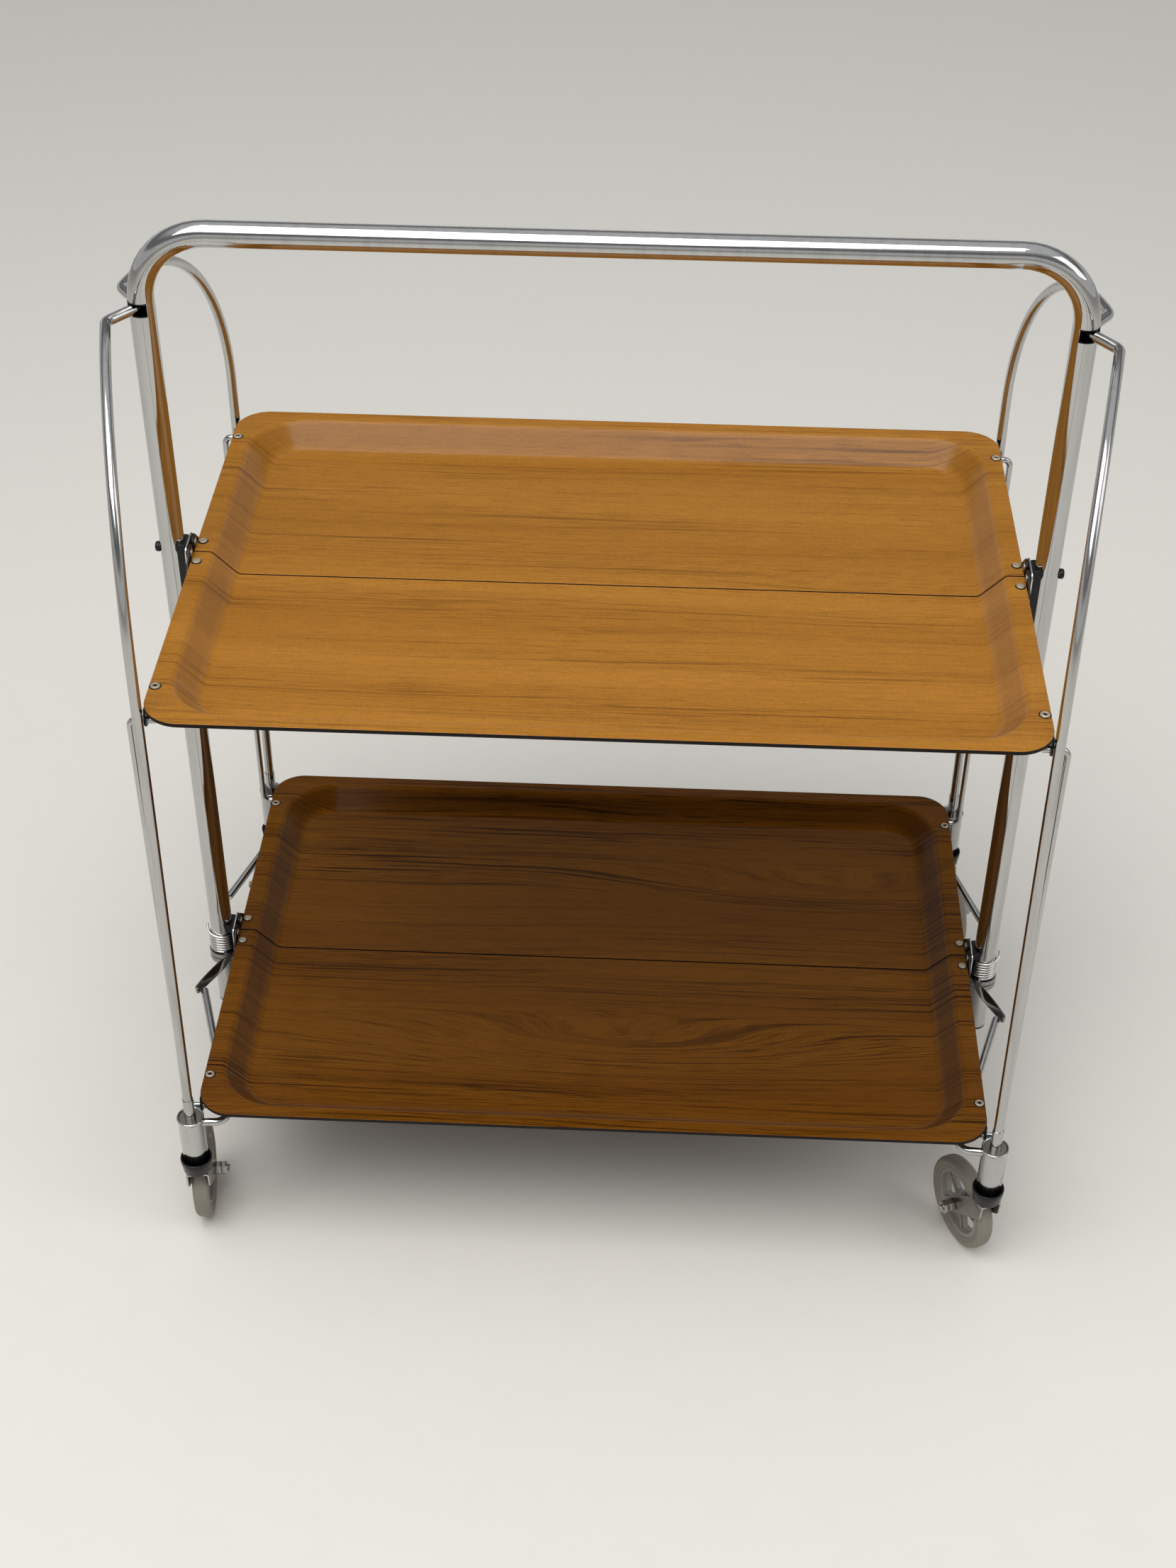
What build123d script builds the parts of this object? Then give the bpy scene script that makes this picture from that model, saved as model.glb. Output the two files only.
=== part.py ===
from build123d import *
import math
import os

# Folding serving trolley: two trays, each split across its middle, fold up in a V
# between the legs of a bent tube. Four bent rods carry the swivel casters.
# Millimetres, +X right, +Y back, +Z up, origin on the floor under the middle.

os.makedirs("parts", exist_ok=True)

SIDES = {"left": -1, "right": 1}
ENDS = {"front": -1, "rear": 1}
CORNERS = [(side, end) for side in SIDES.values() for end in ENDS.values()]
OVERRUN = 2.0  # how far a cutting tool runs past what it cuts
TOUCH_FIT = 0.05  # radial play of a pressed or riveted piece
RUNNING_FIT = 0.06  # radial play of a turning pin
BODY_GAP = 0.4  # smallest gap between bodies that move past each other

# Trays
tray_length = 600.0
tray_width = 413.0
tray_thickness = 3.2
tray_depth = 18.5
end_flange = 13.0
side_flange = 11.0
wall_run = 18.0
tray_corner_radius = 26.0
recess_corner_radius = 44.0
rim_bend_radius = 5.0
floor_bend_radius = 7.0
seam_gap = 1.0
lower_rim_height = 141.0
tray_spacing = 371.0
RIMS = {"upper": lower_rim_height + tray_spacing, "lower": lower_rim_height}

# Tray hinges
pin_offset = 7.5
pin_rise = 3.3
pin_radius = 2.0
pin_head_radius = 2.9
pin_head_height = 0.9
ear_radius = 6.0
ear_thickness = 1.6
tab_thickness = 1.5
tab_width = 8.6
hinge_tab_end = 23.0
hinge_tab_start = 4.0
plate_thickness = 1.3
plate_half_width = 13.0
upper_plate_drop = 38.0
lower_plate_drop = 17.0
plate_rise = 9.5
plate_corner_radius = 4.0
hinge_rivet_y = 13.5
corner_rivet_y = 165.7
rivet_inset = 4.4
hinge_rivet_radius = 3.2
corner_rivet_radius = 3.5
rivet_shank_radius = 1.6
rivet_head_height = 1.2
rivet_dimple_radius = 1.4

# Main tube
tube_radius = 9.0
tube_wall = 1.2
tube_offset = 15.0  # from the tray's end to the tube's axis
tube_bottom = 67.0
handle_height = 759.4
handle_bend_radius = 48.0
plug_flange = 2.0
plug_depth = 12.0

# Hinge blocks on the tube
block_half_width = 11.0
block_wrap = 7.4
upper_block_drop = 40.0
lower_block_height = 8.0
bolt_radius = 2.2
bolt_cap_radius = 3.8
bolt_cap_length = 3.6

# Slots for the leg rods
slot_drop = 52.9
slot_gap = 9.6
slot_lining = 0.5
slot_outer_angle = 77.0
slot_inner_angle = -34.0
lining_proud = 0.35

# Leg rods
rod_radius = 3.75
rod_entry_angle = 38.0
rod_entry_radius = 4.5
rod_bend_radius = 9.0
rod_bend_offset = 19.3  # outboard of the tube's axis
rod_bend_y = 25.1
arch_corner_offset = 14.4  # inboard of the tube's axis
arch_corner_y = 191.7
arch_radius = 165.0
leg_offset = 6.0  # from the tray's end to the leg's axis
leg_y = 199.5
swage_height = 149.0
swage_radius = 4.3

# Sleeves and cups
sleeve_radius = 9.8
sleeve_wall = 1.2
sleeve_top = 130.0
sleeve_bottom = 83.0
sleeve_lip = 0.7
sleeve_lip_height = 2.4
bush_depth = 20.0
bush_recess = 1.0
cup_radius = 12.2
cup_bottom = 72.0
cup_top = 85.0
cup_spigot = 22.0
cup_edge_radius = 1.8

# Levers and braces
lever_thickness = 1.7
lever_width = 8.0
lever_root_width = 4.6
lever_length = 60.0
lever_start_angle = 69.0
lever_end_height = 127.0
hub_radius = 12.0
hub_height = 4.8
front_hub_bottom = 117.2
rear_hub_bottom = 111.8
lever_twist = 34.0
# Along the lever: share of its length, of its rise and of its twist
lever_shares = (
    (0.0, 0.0, 0.0),
    (0.15, 0.0, 0.1),
    (0.3, 0.25, 0.6),
    (0.5, 0.5, 1.0),
    (0.75, 0.8, 0.7),
    (1.0, 1.0, 0.2),
)
brace_radius = 3.2
brace_start_offset = 6.0  # outboard of the tube's axis
brace_start_y = 57.0
brace_start_height = 124.5
brace_turn_offset = 29.0  # inboard of the leg's axis
brace_turn_y = 196.5
brace_turn_height = 122.5
brace_end_y = 198.5
brace_bend_radius = 9.0

# Springs
wire_radius = 0.9
spring_clearance = 0.3
spring_turns = 6
spring_bottom = 124.0
spring_pitch = 2.7
spring_tail_rise = 4.5
spring_tail_flare = 1.5

# Link rods
link_radius = 2.4
link_offset = 10.5  # from the tray's end to the link's axis
link_y = 186.0
link_drop = 13.0
link_hook = 17.5
link_bend_radius = 5.5
corner_ear_inset = 1.6
corner_ear_radius = 4.5
corner_tab_start = 158.0
corner_tab_end = 190.0
open_pivot_clearance = 0.35

# Casters
wheel_radius = 37.5
tyre_width = 13.0
tyre_edge_radius = 3.8
tyre_inner_radius = 28.5
wheel_rim_width = 10.0
wheel_rim_thickness = 3.5
web_thickness = 3.0
boss_radius = 7.5
spoke_count = 5
window_depth = 11.0
window_width = 11.0
trail = 29.0
fork_thickness = 1.5
fork_side_gap = 1.0
fork_plate_half_length = 8.0
fork_plate_height = 70.0
fork_axle_radius = 7.0
fork_shoulder_radius = 7.5
fork_shoulder_height = 61.0
stem_radius = 4.0
stem_top = 104.0
axle_radius = 3.0
axle_head_height = 3.2
nut_across_corners = 11.0
nut_height = 4.6
caster_angles = {
    ("left", "front"): 97.0,
    ("right", "front"): 115.0,
    ("left", "rear"): -96.0,
    ("right", "rear"): -80.0,
}

# Derived sizes
slot_height = handle_height - slot_drop
half_length = tray_length / 2
half_width = tray_width / 2
tube_x = half_length + tube_offset
leg_x = half_length + leg_offset
link_x = half_length + link_offset
corner_ear_x = half_length - corner_ear_inset
rod_bend = (tube_x + rod_bend_offset, rod_bend_y)
arch_corner = (tube_x - arch_corner_offset, arch_corner_y)
brace_start = (tube_x + brace_start_offset, brace_start_y, brace_start_height)
brace_turn = (leg_x - brace_turn_offset, brace_turn_y, brace_turn_height)
wall_angle = math.degrees(math.atan2(wall_run, tray_depth))
wall_slope = math.hypot(wall_run, tray_depth)
under_shift = tray_thickness * (wall_slope - wall_run) / tray_depth
ear_x = half_length + BODY_GAP
plate_x = ear_x + ear_thickness + BODY_GAP
plate_back = plate_x + plate_thickness


def save(piece, name):
    """Labels a finished piece and writes it."""
    piece.part.label = name
    export_step(piece.part, f"parts/{name}.step")


def along_x(side, x, y, z):
    """Plane through a point with its normal pointing outboard on the given side."""
    return Plane(origin=(side * x, y, z), x_dir=(0, side, 0), z_dir=(side, 0, 0))


def make_main_tube():
    """Bent carrying tube with its two legs, handle and the four rod slots."""
    cuts = [slot_sector(side, end, tube_radius + OVERRUN, 0) for side, end in CORNERS]
    cuts += [cross_bolt(side, bolt_radius + TOUCH_FIT, OVERRUN) for side in SIDES.values()]
    with BuildPart() as main_tube:
        with BuildLine() as route:
            FilletPolyline(
                (-tube_x, 0, tube_bottom),
                (-tube_x, 0, handle_height),
                (tube_x, 0, handle_height),
                (tube_x, 0, tube_bottom),
                radius=handle_bend_radius,
            )
        with BuildSketch(Plane(origin=route.line @ 0, z_dir=route.line % 0)):
            Circle(tube_radius)
            Circle(tube_radius - tube_wall, mode=Mode.SUBTRACT)
        sweep(path=route.line)
        add(cuts, mode=Mode.SUBTRACT)
    save(main_tube, "main_tube")


def slot_sector(side, end, outer, shrink):
    """Sector of a ring about the tube at slot height, shrunk all round by a wall."""
    inner = tube_radius - tube_wall - OVERRUN
    spread = math.degrees(shrink / tube_radius)
    start = end * (90 - slot_inner_angle - spread)
    stop = end * (90 - slot_outer_angle + spread)
    if side < 0:
        start = 180 - start
        stop = 180 - stop
    centre = Vector(side * tube_x, 0)
    ways = [Vector(1, 0).rotate(Axis.Z, angle) for angle in (start, (start + stop) / 2, stop)]
    with BuildPart() as sector:
        with BuildSketch(Plane.XY.offset(slot_height - slot_gap / 2 + shrink)):
            with BuildLine():
                ThreePointArc(*[centre + way * outer for way in ways])
                Line(centre + ways[2] * outer, centre + ways[2] * inner)
                ThreePointArc(*[centre + way * inner for way in reversed(ways)])
                Line(centre + ways[0] * inner, centre + ways[0] * outer)
            make_face()
        extrude(amount=slot_gap - 2 * shrink)
    return sector.part


def cross_bolt(side, radius, extra):
    """Cylinder along a cross bolt's axis from the hinge plate to beyond the tube."""
    level = RIMS["upper"] + pin_rise
    with BuildPart() as shank:
        with BuildSketch(along_x(side, plate_x - extra, 0, level)):
            Circle(radius)
        extrude(amount=tube_x + tube_radius + bolt_cap_length / 2 - plate_x + 2 * extra)
    return shank.part


def make_tube_plugs():
    """Plastic plugs that close the lower ends of the tube."""
    with BuildPart() as tube_end_plugs:
        for side in SIDES.values():
            with BuildSketch(Plane.XY.offset(tube_bottom)):
                with Locations((side * tube_x, 0)):
                    Circle(tube_radius)
            extrude(amount=-plug_flange)
            with BuildSketch(Plane.XY.offset(tube_bottom)):
                with Locations((side * tube_x, 0)):
                    Circle(tube_radius - tube_wall - TOUCH_FIT)
            extrude(amount=plug_depth)
    save(tube_end_plugs, "tube_end_plugs")


def make_slot_linings():
    """Plastic linings of the four slots, each a rounded frame round its rod."""
    frames = [slot_sector(side, end, tube_radius + lining_proud, TOUCH_FIT) for side, end in CORNERS]
    holes = [slot_sector(side, end, tube_radius + OVERRUN, slot_lining) for side, end in CORNERS]
    with BuildPart() as rod_slot_linings:
        add(frames)
        add(holes, mode=Mode.SUBTRACT)
        with BuildSketch(Plane.XY.offset(slot_height - slot_gap)):
            with Locations(*[(side * tube_x, 0) for side in SIDES.values()]):
                Circle(tube_radius - tube_wall)
        extrude(amount=2 * slot_gap, mode=Mode.SUBTRACT)
    save(rod_slot_linings, "rod_slot_linings")


def make_leg_rod(side_name, end_name):
    """Bent rod from the slot over its arch and down into the sleeve."""
    side = SIDES[side_name]
    end = ENDS[end_name]
    turn = math.radians(rod_entry_angle)
    mouth = Vector(
        side * (tube_x + tube_radius * math.sin(turn)),
        end * tube_radius * math.cos(turn),
        slot_height,
    )
    bend = Vector(side * rod_bend[0], end * rod_bend[1], slot_height)
    entry = mouth + (mouth - bend).normalized() * (tube_radius - rod_entry_radius)
    corner = Vector(side * arch_corner[0], end * arch_corner[1], slot_height)
    foot = Vector(side * leg_x, end * leg_y, swage_height - rod_radius)
    bush_bottom = sleeve_top - bush_recess - bush_depth
    with BuildPart() as leg_rod:
        with BuildLine() as route:
            FilletPolyline(entry, bend, corner, foot, radius=(rod_bend_radius, arch_radius))
        with BuildSketch(Plane(origin=route.line @ 0, z_dir=route.line % 0)):
            Circle(rod_radius)
        sweep(path=route.line)
        with BuildSketch(Plane.XY.offset(bush_bottom)):
            with Locations((side * leg_x, end * leg_y)):
                Circle(swage_radius)
        extrude(amount=swage_height - bush_bottom)
    save(leg_rod, f"{end_name}_{side_name}_leg_rod")


def leg_points():
    """The four sleeve axes on the floor plan."""
    return [(side * leg_x, end * leg_y) for side, end in CORNERS]


def make_leg_sleeves():
    """Chrome sleeves at the foot of the rods, with a rolled top lip."""
    holes = [brace_solid(side, end, TOUCH_FIT) for side, end in CORNERS]
    with BuildPart() as leg_sleeves:
        with BuildSketch(Plane.XY.offset(sleeve_bottom)):
            with Locations(*leg_points()):
                Circle(sleeve_radius)
        extrude(amount=sleeve_top - sleeve_bottom)
        with BuildSketch(Plane.XY.offset(sleeve_top - sleeve_lip_height)):
            with Locations(*leg_points()):
                Circle(sleeve_radius + sleeve_lip)
        extrude(amount=sleeve_lip_height)
        with BuildSketch(Plane.XY.offset(sleeve_bottom)):
            with Locations(*leg_points()):
                Circle(sleeve_radius - sleeve_wall)
        extrude(amount=sleeve_top - sleeve_bottom, mode=Mode.SUBTRACT)
        add(holes, mode=Mode.SUBTRACT)
    save(leg_sleeves, "leg_sleeves")


def make_sleeve_bushes():
    """Bushes that hold the rods in the sleeves."""
    with BuildPart() as sleeve_bushes:
        with BuildSketch(Plane.XY.offset(sleeve_top - bush_recess)):
            with Locations(*leg_points()):
                Circle(sleeve_radius - sleeve_wall - TOUCH_FIT)
                Circle(swage_radius + TOUCH_FIT, mode=Mode.SUBTRACT)
        extrude(amount=-bush_depth)
    save(sleeve_bushes, "sleeve_bushes")


def make_caster_cups():
    """Plastic cups that close the sleeves and guide the caster stems."""
    with BuildPart() as caster_cups:
        with BuildSketch(Plane.XY.offset(cup_bottom)):
            with Locations(*leg_points()):
                Circle(cup_radius)
        extrude(amount=cup_top - cup_bottom)
        fillet(caster_cups.edges().filter_by(GeomType.CIRCLE), radius=cup_edge_radius)
        with BuildSketch(Plane.XY.offset(sleeve_bottom)):
            with Locations(*leg_points()):
                Circle(sleeve_radius + TOUCH_FIT)
        extrude(amount=cup_top - sleeve_bottom, mode=Mode.SUBTRACT)
        with BuildSketch(Plane.XY.offset(sleeve_bottom)):
            with Locations(*leg_points()):
                Circle(sleeve_radius - sleeve_wall - TOUCH_FIT)
        extrude(amount=cup_spigot)
        with BuildSketch(Plane.XY.offset(cup_bottom)):
            with Locations(*leg_points()):
                Circle(stem_radius + RUNNING_FIT)
        extrude(amount=sleeve_bottom - cup_bottom + cup_spigot, mode=Mode.SUBTRACT)
    save(caster_cups, "caster_cups")


def brace_solid(side, end, extra):
    """Round brace from the lever's end to the sleeve, fattened by an allowance."""
    start = (side * brace_start[0], end * brace_start[1], brace_start[2])
    turn = (side * brace_turn[0], end * brace_turn[1], brace_turn[2])
    finish = (side * (leg_x - sleeve_radius + sleeve_wall / 2), end * brace_end_y, brace_turn[2])
    with BuildPart() as brace:
        with BuildLine() as route:
            FilletPolyline(start, turn, finish, radius=brace_bend_radius)
        with BuildSketch(Plane(origin=route.line @ 0, z_dir=route.line % 0)):
            Circle(brace_radius + extra)
        sweep(path=route.line)
    return brace.part


def make_braces():
    """Braces that hold the sleeves out from the hub."""
    braces = [brace_solid(side, end, 0) for side, end in CORNERS]
    with BuildPart() as brace_rods:
        add(braces)
    save(brace_rods, "brace_rods")


def lever_solid(side, end):
    """Hub ring round the tube with its twisted flat lever."""
    hub_bottom = front_hub_bottom if end < 0 else rear_hub_bottom
    angle = math.radians(lever_start_angle)
    ring_middle = (hub_radius + tube_radius) / 2
    root = Vector(
        side * (tube_x - ring_middle * math.sin(angle)),
        end * ring_middle * math.cos(angle),
        hub_bottom + hub_height / 2,
    )
    heading = Vector(side * math.cos(angle), end * math.sin(angle), 0)
    outboard = Vector(side * math.sin(angle), -end * math.cos(angle), 0)
    upright = Vector(0, 0, 1)
    with BuildPart() as lever:
        with BuildSketch(Plane.XY.offset(hub_bottom)):
            with Locations((side * tube_x, 0)):
                Circle(hub_radius)
                Circle(tube_radius + TOUCH_FIT, mode=Mode.SUBTRACT)
        extrude(amount=hub_height)
        for place, rise, twist in lever_shares:
            centre = root + heading * lever_length * place
            centre += upright * (lever_end_height - root.Z) * rise
            lean = math.radians(lever_twist * twist)
            broad = upright * math.cos(lean) + outboard * math.sin(lean)
            with BuildSketch(Plane(origin=centre, x_dir=broad, z_dir=heading)):
                Rectangle(lever_width if rise else lever_root_width, lever_thickness)
        loft(ruled=True)
    return lever.part


def make_levers():
    """Twisted levers on the tube, front ones above the rear ones."""
    levers = [lever_solid(side, end) for side, end in CORNERS]
    with BuildPart() as hub_levers:
        add(levers)
    save(hub_levers, "hub_levers")


def biarc(start, start_way, finish, finish_way):
    """Middle point of the two equal-legged arcs that join two directed points."""
    chord = finish - start
    both = start_way + finish_way
    a = 2 * start_way.dot(finish_way) - 2
    b = -2 * chord.dot(both)
    c = chord.dot(chord)
    leg = (-b - math.sqrt(b * b - 4 * a * c)) / (2 * a)
    return ((start + start_way * leg) + (finish - finish_way * leg)) * 0.5, leg


def spring_stations(side):
    """Quarter-turn stations of the spring, each a point and its direction."""
    quarters = 4 * spring_turns + 1
    radius = tube_radius + spring_clearance + wire_radius
    stations = []
    for quarter in range(quarters + 1):
        angle = math.radians(90 * (quarter - quarters + 1))
        lift = spring_pitch * quarter / 4
        reach = radius
        climb = spring_pitch / (2 * math.pi * radius)
        if quarter == quarters:
            lift += spring_tail_rise - spring_pitch / 4
            reach += spring_tail_flare
            climb = spring_tail_rise / reach
        point = Vector(
            side * (tube_x + reach * math.sin(angle)),
            -reach * math.cos(angle),
            spring_bottom + lift,
        )
        way = Vector(side * math.cos(angle), math.sin(angle), climb).normalized()
        stations.append((point, way))
    return stations


def make_spring(side_name):
    """Torsion spring round the tube, one unbroken wire with a raised outboard end."""
    side = SIDES[side_name]
    stations = spring_stations(side)
    first, first_way = stations[0]
    last, last_way = stations[-1]
    with BuildPart() as spring:
        with BuildLine() as route:
            Line(first - first_way * 2 * wire_radius, first)
            for (start, start_way), (finish, finish_way) in zip(stations, stations[1:]):
                middle, leg = biarc(start, start_way, finish, finish_way)
                TangentArc(start, middle, tangent=start_way)
                middle_way = (middle - (start + start_way * leg)).normalized()
                TangentArc(middle, finish, tangent=middle_way)
            Line(last, last + last_way * 2 * wire_radius)
        with BuildSketch(Plane(origin=route.line @ 0, z_dir=route.line % 0)):
            Circle(wire_radius)
        sweep(path=route.line)
    save(spring, f"{side_name}_coil_spring")


def report_spring_gap():
    """Prints the least gap between neighbouring turns, measured on the stations."""
    stations = spring_stations(1)
    points = [point for point, way in stations]
    gaps = [
        (points[i] - points[j]).length - 2 * wire_radius
        for i in range(len(points))
        for j in range(i + 3, len(points))
    ]
    print("spring: least gap between turns", round(min(gaps), 2), "mm")


def make_hinge_blocks():
    """Plastic blocks that hold the hinge plates against the tube."""
    levels = {
        "upper": (RIMS["upper"] - upper_block_drop, RIMS["upper"] + plate_rise),
        "lower": (
            RIMS["lower"] + plate_rise - lower_block_height,
            RIMS["lower"] + plate_rise,
        ),
    }
    shanks = [cross_bolt(side, bolt_radius + TOUCH_FIT, OVERRUN) for side in SIDES.values()]
    for level, (bottom, top) in levels.items():
        with BuildPart() as hinge_blocks:
            for side in SIDES.values():
                middle = plate_back + block_wrap / 2
                with BuildSketch(Plane.XY.offset(bottom)):
                    with Locations((side * middle, 0)):
                        Rectangle(block_wrap, 2 * block_half_width)
                    with Locations((side * tube_x, 0)):
                        Circle(tube_radius + TOUCH_FIT, mode=Mode.SUBTRACT)
                extrude(amount=top - bottom)
            if level == "upper":
                add(shanks, mode=Mode.SUBTRACT)
        save(hinge_blocks, f"{level}_hinge_blocks")


def make_hinge_plates():
    """Chrome plates that carry both hinge pins of a tray at each end."""
    drops = {"upper": upper_plate_drop, "lower": lower_plate_drop}
    shanks = [cross_bolt(side, bolt_radius + TOUCH_FIT, OVERRUN) for side in SIDES.values()]
    for level, drop in drops.items():
        rim = RIMS[level]
        with BuildPart() as hinge_plates:
            for side in SIDES.values():
                middle = rim + (plate_rise - drop) / 2
                with BuildSketch(along_x(side, plate_x, 0, middle)):
                    RectangleRounded(2 * plate_half_width, plate_rise + drop, plate_corner_radius)
                extrude(amount=plate_thickness)
                with BuildSketch(along_x(side, plate_x, 0, rim + pin_rise)):
                    with Locations((-pin_offset, 0), (pin_offset, 0)):
                        Circle(pin_radius + TOUCH_FIT)
                extrude(amount=plate_thickness, mode=Mode.SUBTRACT)
            if level == "upper":
                add(shanks, mode=Mode.SUBTRACT)
        save(hinge_plates, f"{level}_hinge_plates")


def make_hinge_pins():
    """Headed pins, two at each end of each tray, set in the hinge plates."""
    with BuildPart() as hinge_pins:
        for rim in RIMS.values():
            for side in SIDES.values():
                for end in ENDS.values():
                    spot = (end * pin_offset, rim + pin_rise)
                    with BuildSketch(along_x(side, ear_x - BODY_GAP - pin_head_height, *spot)):
                        Circle(pin_head_radius)
                    extrude(amount=pin_head_height)
                    with BuildSketch(along_x(side, ear_x - BODY_GAP, *spot)):
                        Circle(pin_radius)
                    extrude(amount=plate_back - ear_x + BODY_GAP)
    save(hinge_pins, "hinge_pins")


def make_cross_bolts():
    """Bolts through the tube that hold the upper hinge blocks, with their caps."""
    shanks = [cross_bolt(side, bolt_radius, 0) for side in SIDES.values()]
    holes = [cross_bolt(side, bolt_radius + TOUCH_FIT, TOUCH_FIT) for side in SIDES.values()]
    with BuildPart() as cross_bolts:
        add(shanks)
    save(cross_bolts, "cross_bolts")
    with BuildPart() as bolt_caps:
        for side in SIDES.values():
            with BuildSketch(along_x(side, tube_x + tube_radius, 0, RIMS["upper"] + pin_rise)):
                Circle(bolt_cap_radius)
            extrude(amount=bolt_cap_length)
        ends = bolt_caps.edges().filter_by(GeomType.CIRCLE).group_by(Axis.X)
        fillet(ends[0] + ends[-1], radius=bolt_cap_length / 3)
        add(holes, mode=Mode.SUBTRACT)
    save(bolt_caps, "bolt_caps")


def whole_tray(rim):
    """Pressed tray before it is cut in two: flat flange, sloping wall, flat floor."""
    recess_length = tray_length - 2 * end_flange
    recess_width = tray_width - 2 * side_flange
    with BuildPart() as tray:
        with BuildSketch(Plane.XY.offset(rim - tray_thickness)):
            RectangleRounded(tray_length, tray_width, tray_corner_radius)
        extrude(amount=tray_thickness)
        with BuildSketch(Plane.XY.offset(rim - tray_thickness)):
            RectangleRounded(
                recess_length + 2 * under_shift,
                recess_width + 2 * under_shift,
                recess_corner_radius + under_shift,
            )
        extrude(amount=-tray_depth, taper=wall_angle)
        with BuildSketch(Plane.XY.offset(rim)):
            RectangleRounded(recess_length, recess_width, recess_corner_radius)
        extrude(amount=-tray_depth, taper=wall_angle, mode=Mode.SUBTRACT)
        floor_edges = tray.edges().filter_by_position(
            Axis.Z, rim - tray_depth - tray_thickness / 4, rim - tray_depth + tray_thickness / 4
        )
        fillet(floor_edges, radius=floor_bend_radius)
        bottom_edges = tray.edges().group_by(Axis.Z)[0]
        fillet(bottom_edges, radius=floor_bend_radius + tray_thickness)
        top_edges = tray.edges().filter_by_position(
            Axis.Z, rim - tray_thickness / 4, rim + tray_thickness / 4
        )
        inner_edges = ShapeList(
            edge for edge in top_edges if abs(edge.center().X) < half_length - 0.9 * end_flange
        ).filter_by(lambda edge: abs(edge.center().Y) < half_width - side_flange / 2)
        fillet(inner_edges, radius=rim_bend_radius)
    return tray.part


def make_tray_half(level, end_name, tray):
    """One half of a tray, cut at the seam and drilled for its rivets."""
    rim = RIMS[level]
    end = ENDS[end_name]
    with BuildPart() as tray_half:
        add(tray)
        cut = Plane(origin=(0, end * seam_gap / 2, 0), x_dir=(1, 0, 0), z_dir=(0, end, 0))
        split(bisect_by=cut, keep=Keep.TOP)
        with BuildSketch(Plane.XY.offset(rim)):
            with Locations(*rivet_points(end, hinge_rivet_y), *rivet_points(end, corner_rivet_y)):
                Circle(rivet_shank_radius + TOUCH_FIT)
        extrude(amount=-tray_thickness, mode=Mode.SUBTRACT)
    save(tray_half, f"{level}_{end_name}_tray")


def rivet_points(end, y):
    """A rivet place at both ends of a tray half."""
    return [(side * (half_length - rivet_inset), end * y) for side in SIDES.values()]


def make_rivets(level, end_name):
    """Solid rivets of the hinges and hollow rivets of the corners of a tray half."""
    rim = RIMS[level]
    end = ENDS[end_name]
    under = rim - tray_thickness - tab_thickness
    hinge_spots = rivet_points(end, hinge_rivet_y)
    corner_spots = rivet_points(end, corner_rivet_y)
    with BuildPart() as rivets:
        for places, radius in (
            (hinge_spots, hinge_rivet_radius),
            (corner_spots, corner_rivet_radius),
        ):
            with BuildSketch(Plane.XY.offset(rim)):
                with Locations(*places):
                    Circle(radius)
            extrude(amount=rivet_head_height)
        tops = rivets.edges().filter_by(GeomType.CIRCLE).group_by(Axis.Z)[-1]
        fillet(tops, radius=rivet_head_height * 0.7)
        with BuildSketch(Plane.XY.offset(under - rivet_head_height)):
            with Locations(*hinge_spots, *corner_spots):
                Circle(rivet_shank_radius)
        extrude(amount=rim - under + rivet_head_height)
        with BuildSketch(Plane.XY.offset(under)):
            with Locations(*hinge_spots, *corner_spots):
                Circle(hinge_rivet_radius - rivet_shank_radius / 2)
        extrude(amount=-rivet_head_height)
        with BuildSketch(Plane.XY.offset(rim + rivet_head_height)):
            with Locations(*corner_spots):
                Circle(rivet_dimple_radius)
        extrude(amount=-tray_thickness / 2, mode=Mode.SUBTRACT)
    save(rivets, f"{level}_{end_name}_rivets")


def make_hinge_brackets(level, end_name):
    """Steel brackets riveted under the flange, each with an ear on its hinge pin."""
    rim = RIMS[level]
    end = ENDS[end_name]
    tab_top = rim - tray_thickness
    tab_middle = end * (hinge_tab_start + hinge_tab_end) / 2
    tab_length = hinge_tab_end - hinge_tab_start
    with BuildPart() as hinge_brackets:
        for side in SIDES.values():
            with BuildSketch(along_x(side, ear_x, 0, 0)):
                with Locations((side * end * pin_offset, rim + pin_rise)):
                    Circle(ear_radius)
                with Locations((side * tab_middle, tab_top - tab_thickness / 2)):
                    Rectangle(tab_length, tab_thickness)
                make_hull()
            extrude(amount=ear_thickness)
            with BuildSketch(Plane.XY.offset(tab_top)):
                with Locations((side * (ear_x + ear_thickness - tab_width / 2), tab_middle)):
                    Rectangle(tab_width, tab_length)
            extrude(amount=-tab_thickness)
            with BuildSketch(along_x(side, ear_x - OVERRUN, end * pin_offset, rim + pin_rise)):
                Circle(pin_radius + RUNNING_FIT)
            extrude(amount=ear_thickness + 2 * OVERRUN, mode=Mode.SUBTRACT)
        with BuildSketch(Plane.XY.offset(tab_top)):
            with Locations(*rivet_points(end, hinge_rivet_y)):
                Circle(rivet_shank_radius + TOUCH_FIT)
        extrude(amount=-tab_thickness, mode=Mode.SUBTRACT)
    save(hinge_brackets, f"{level}_{end_name}_hinge_brackets")


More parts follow.
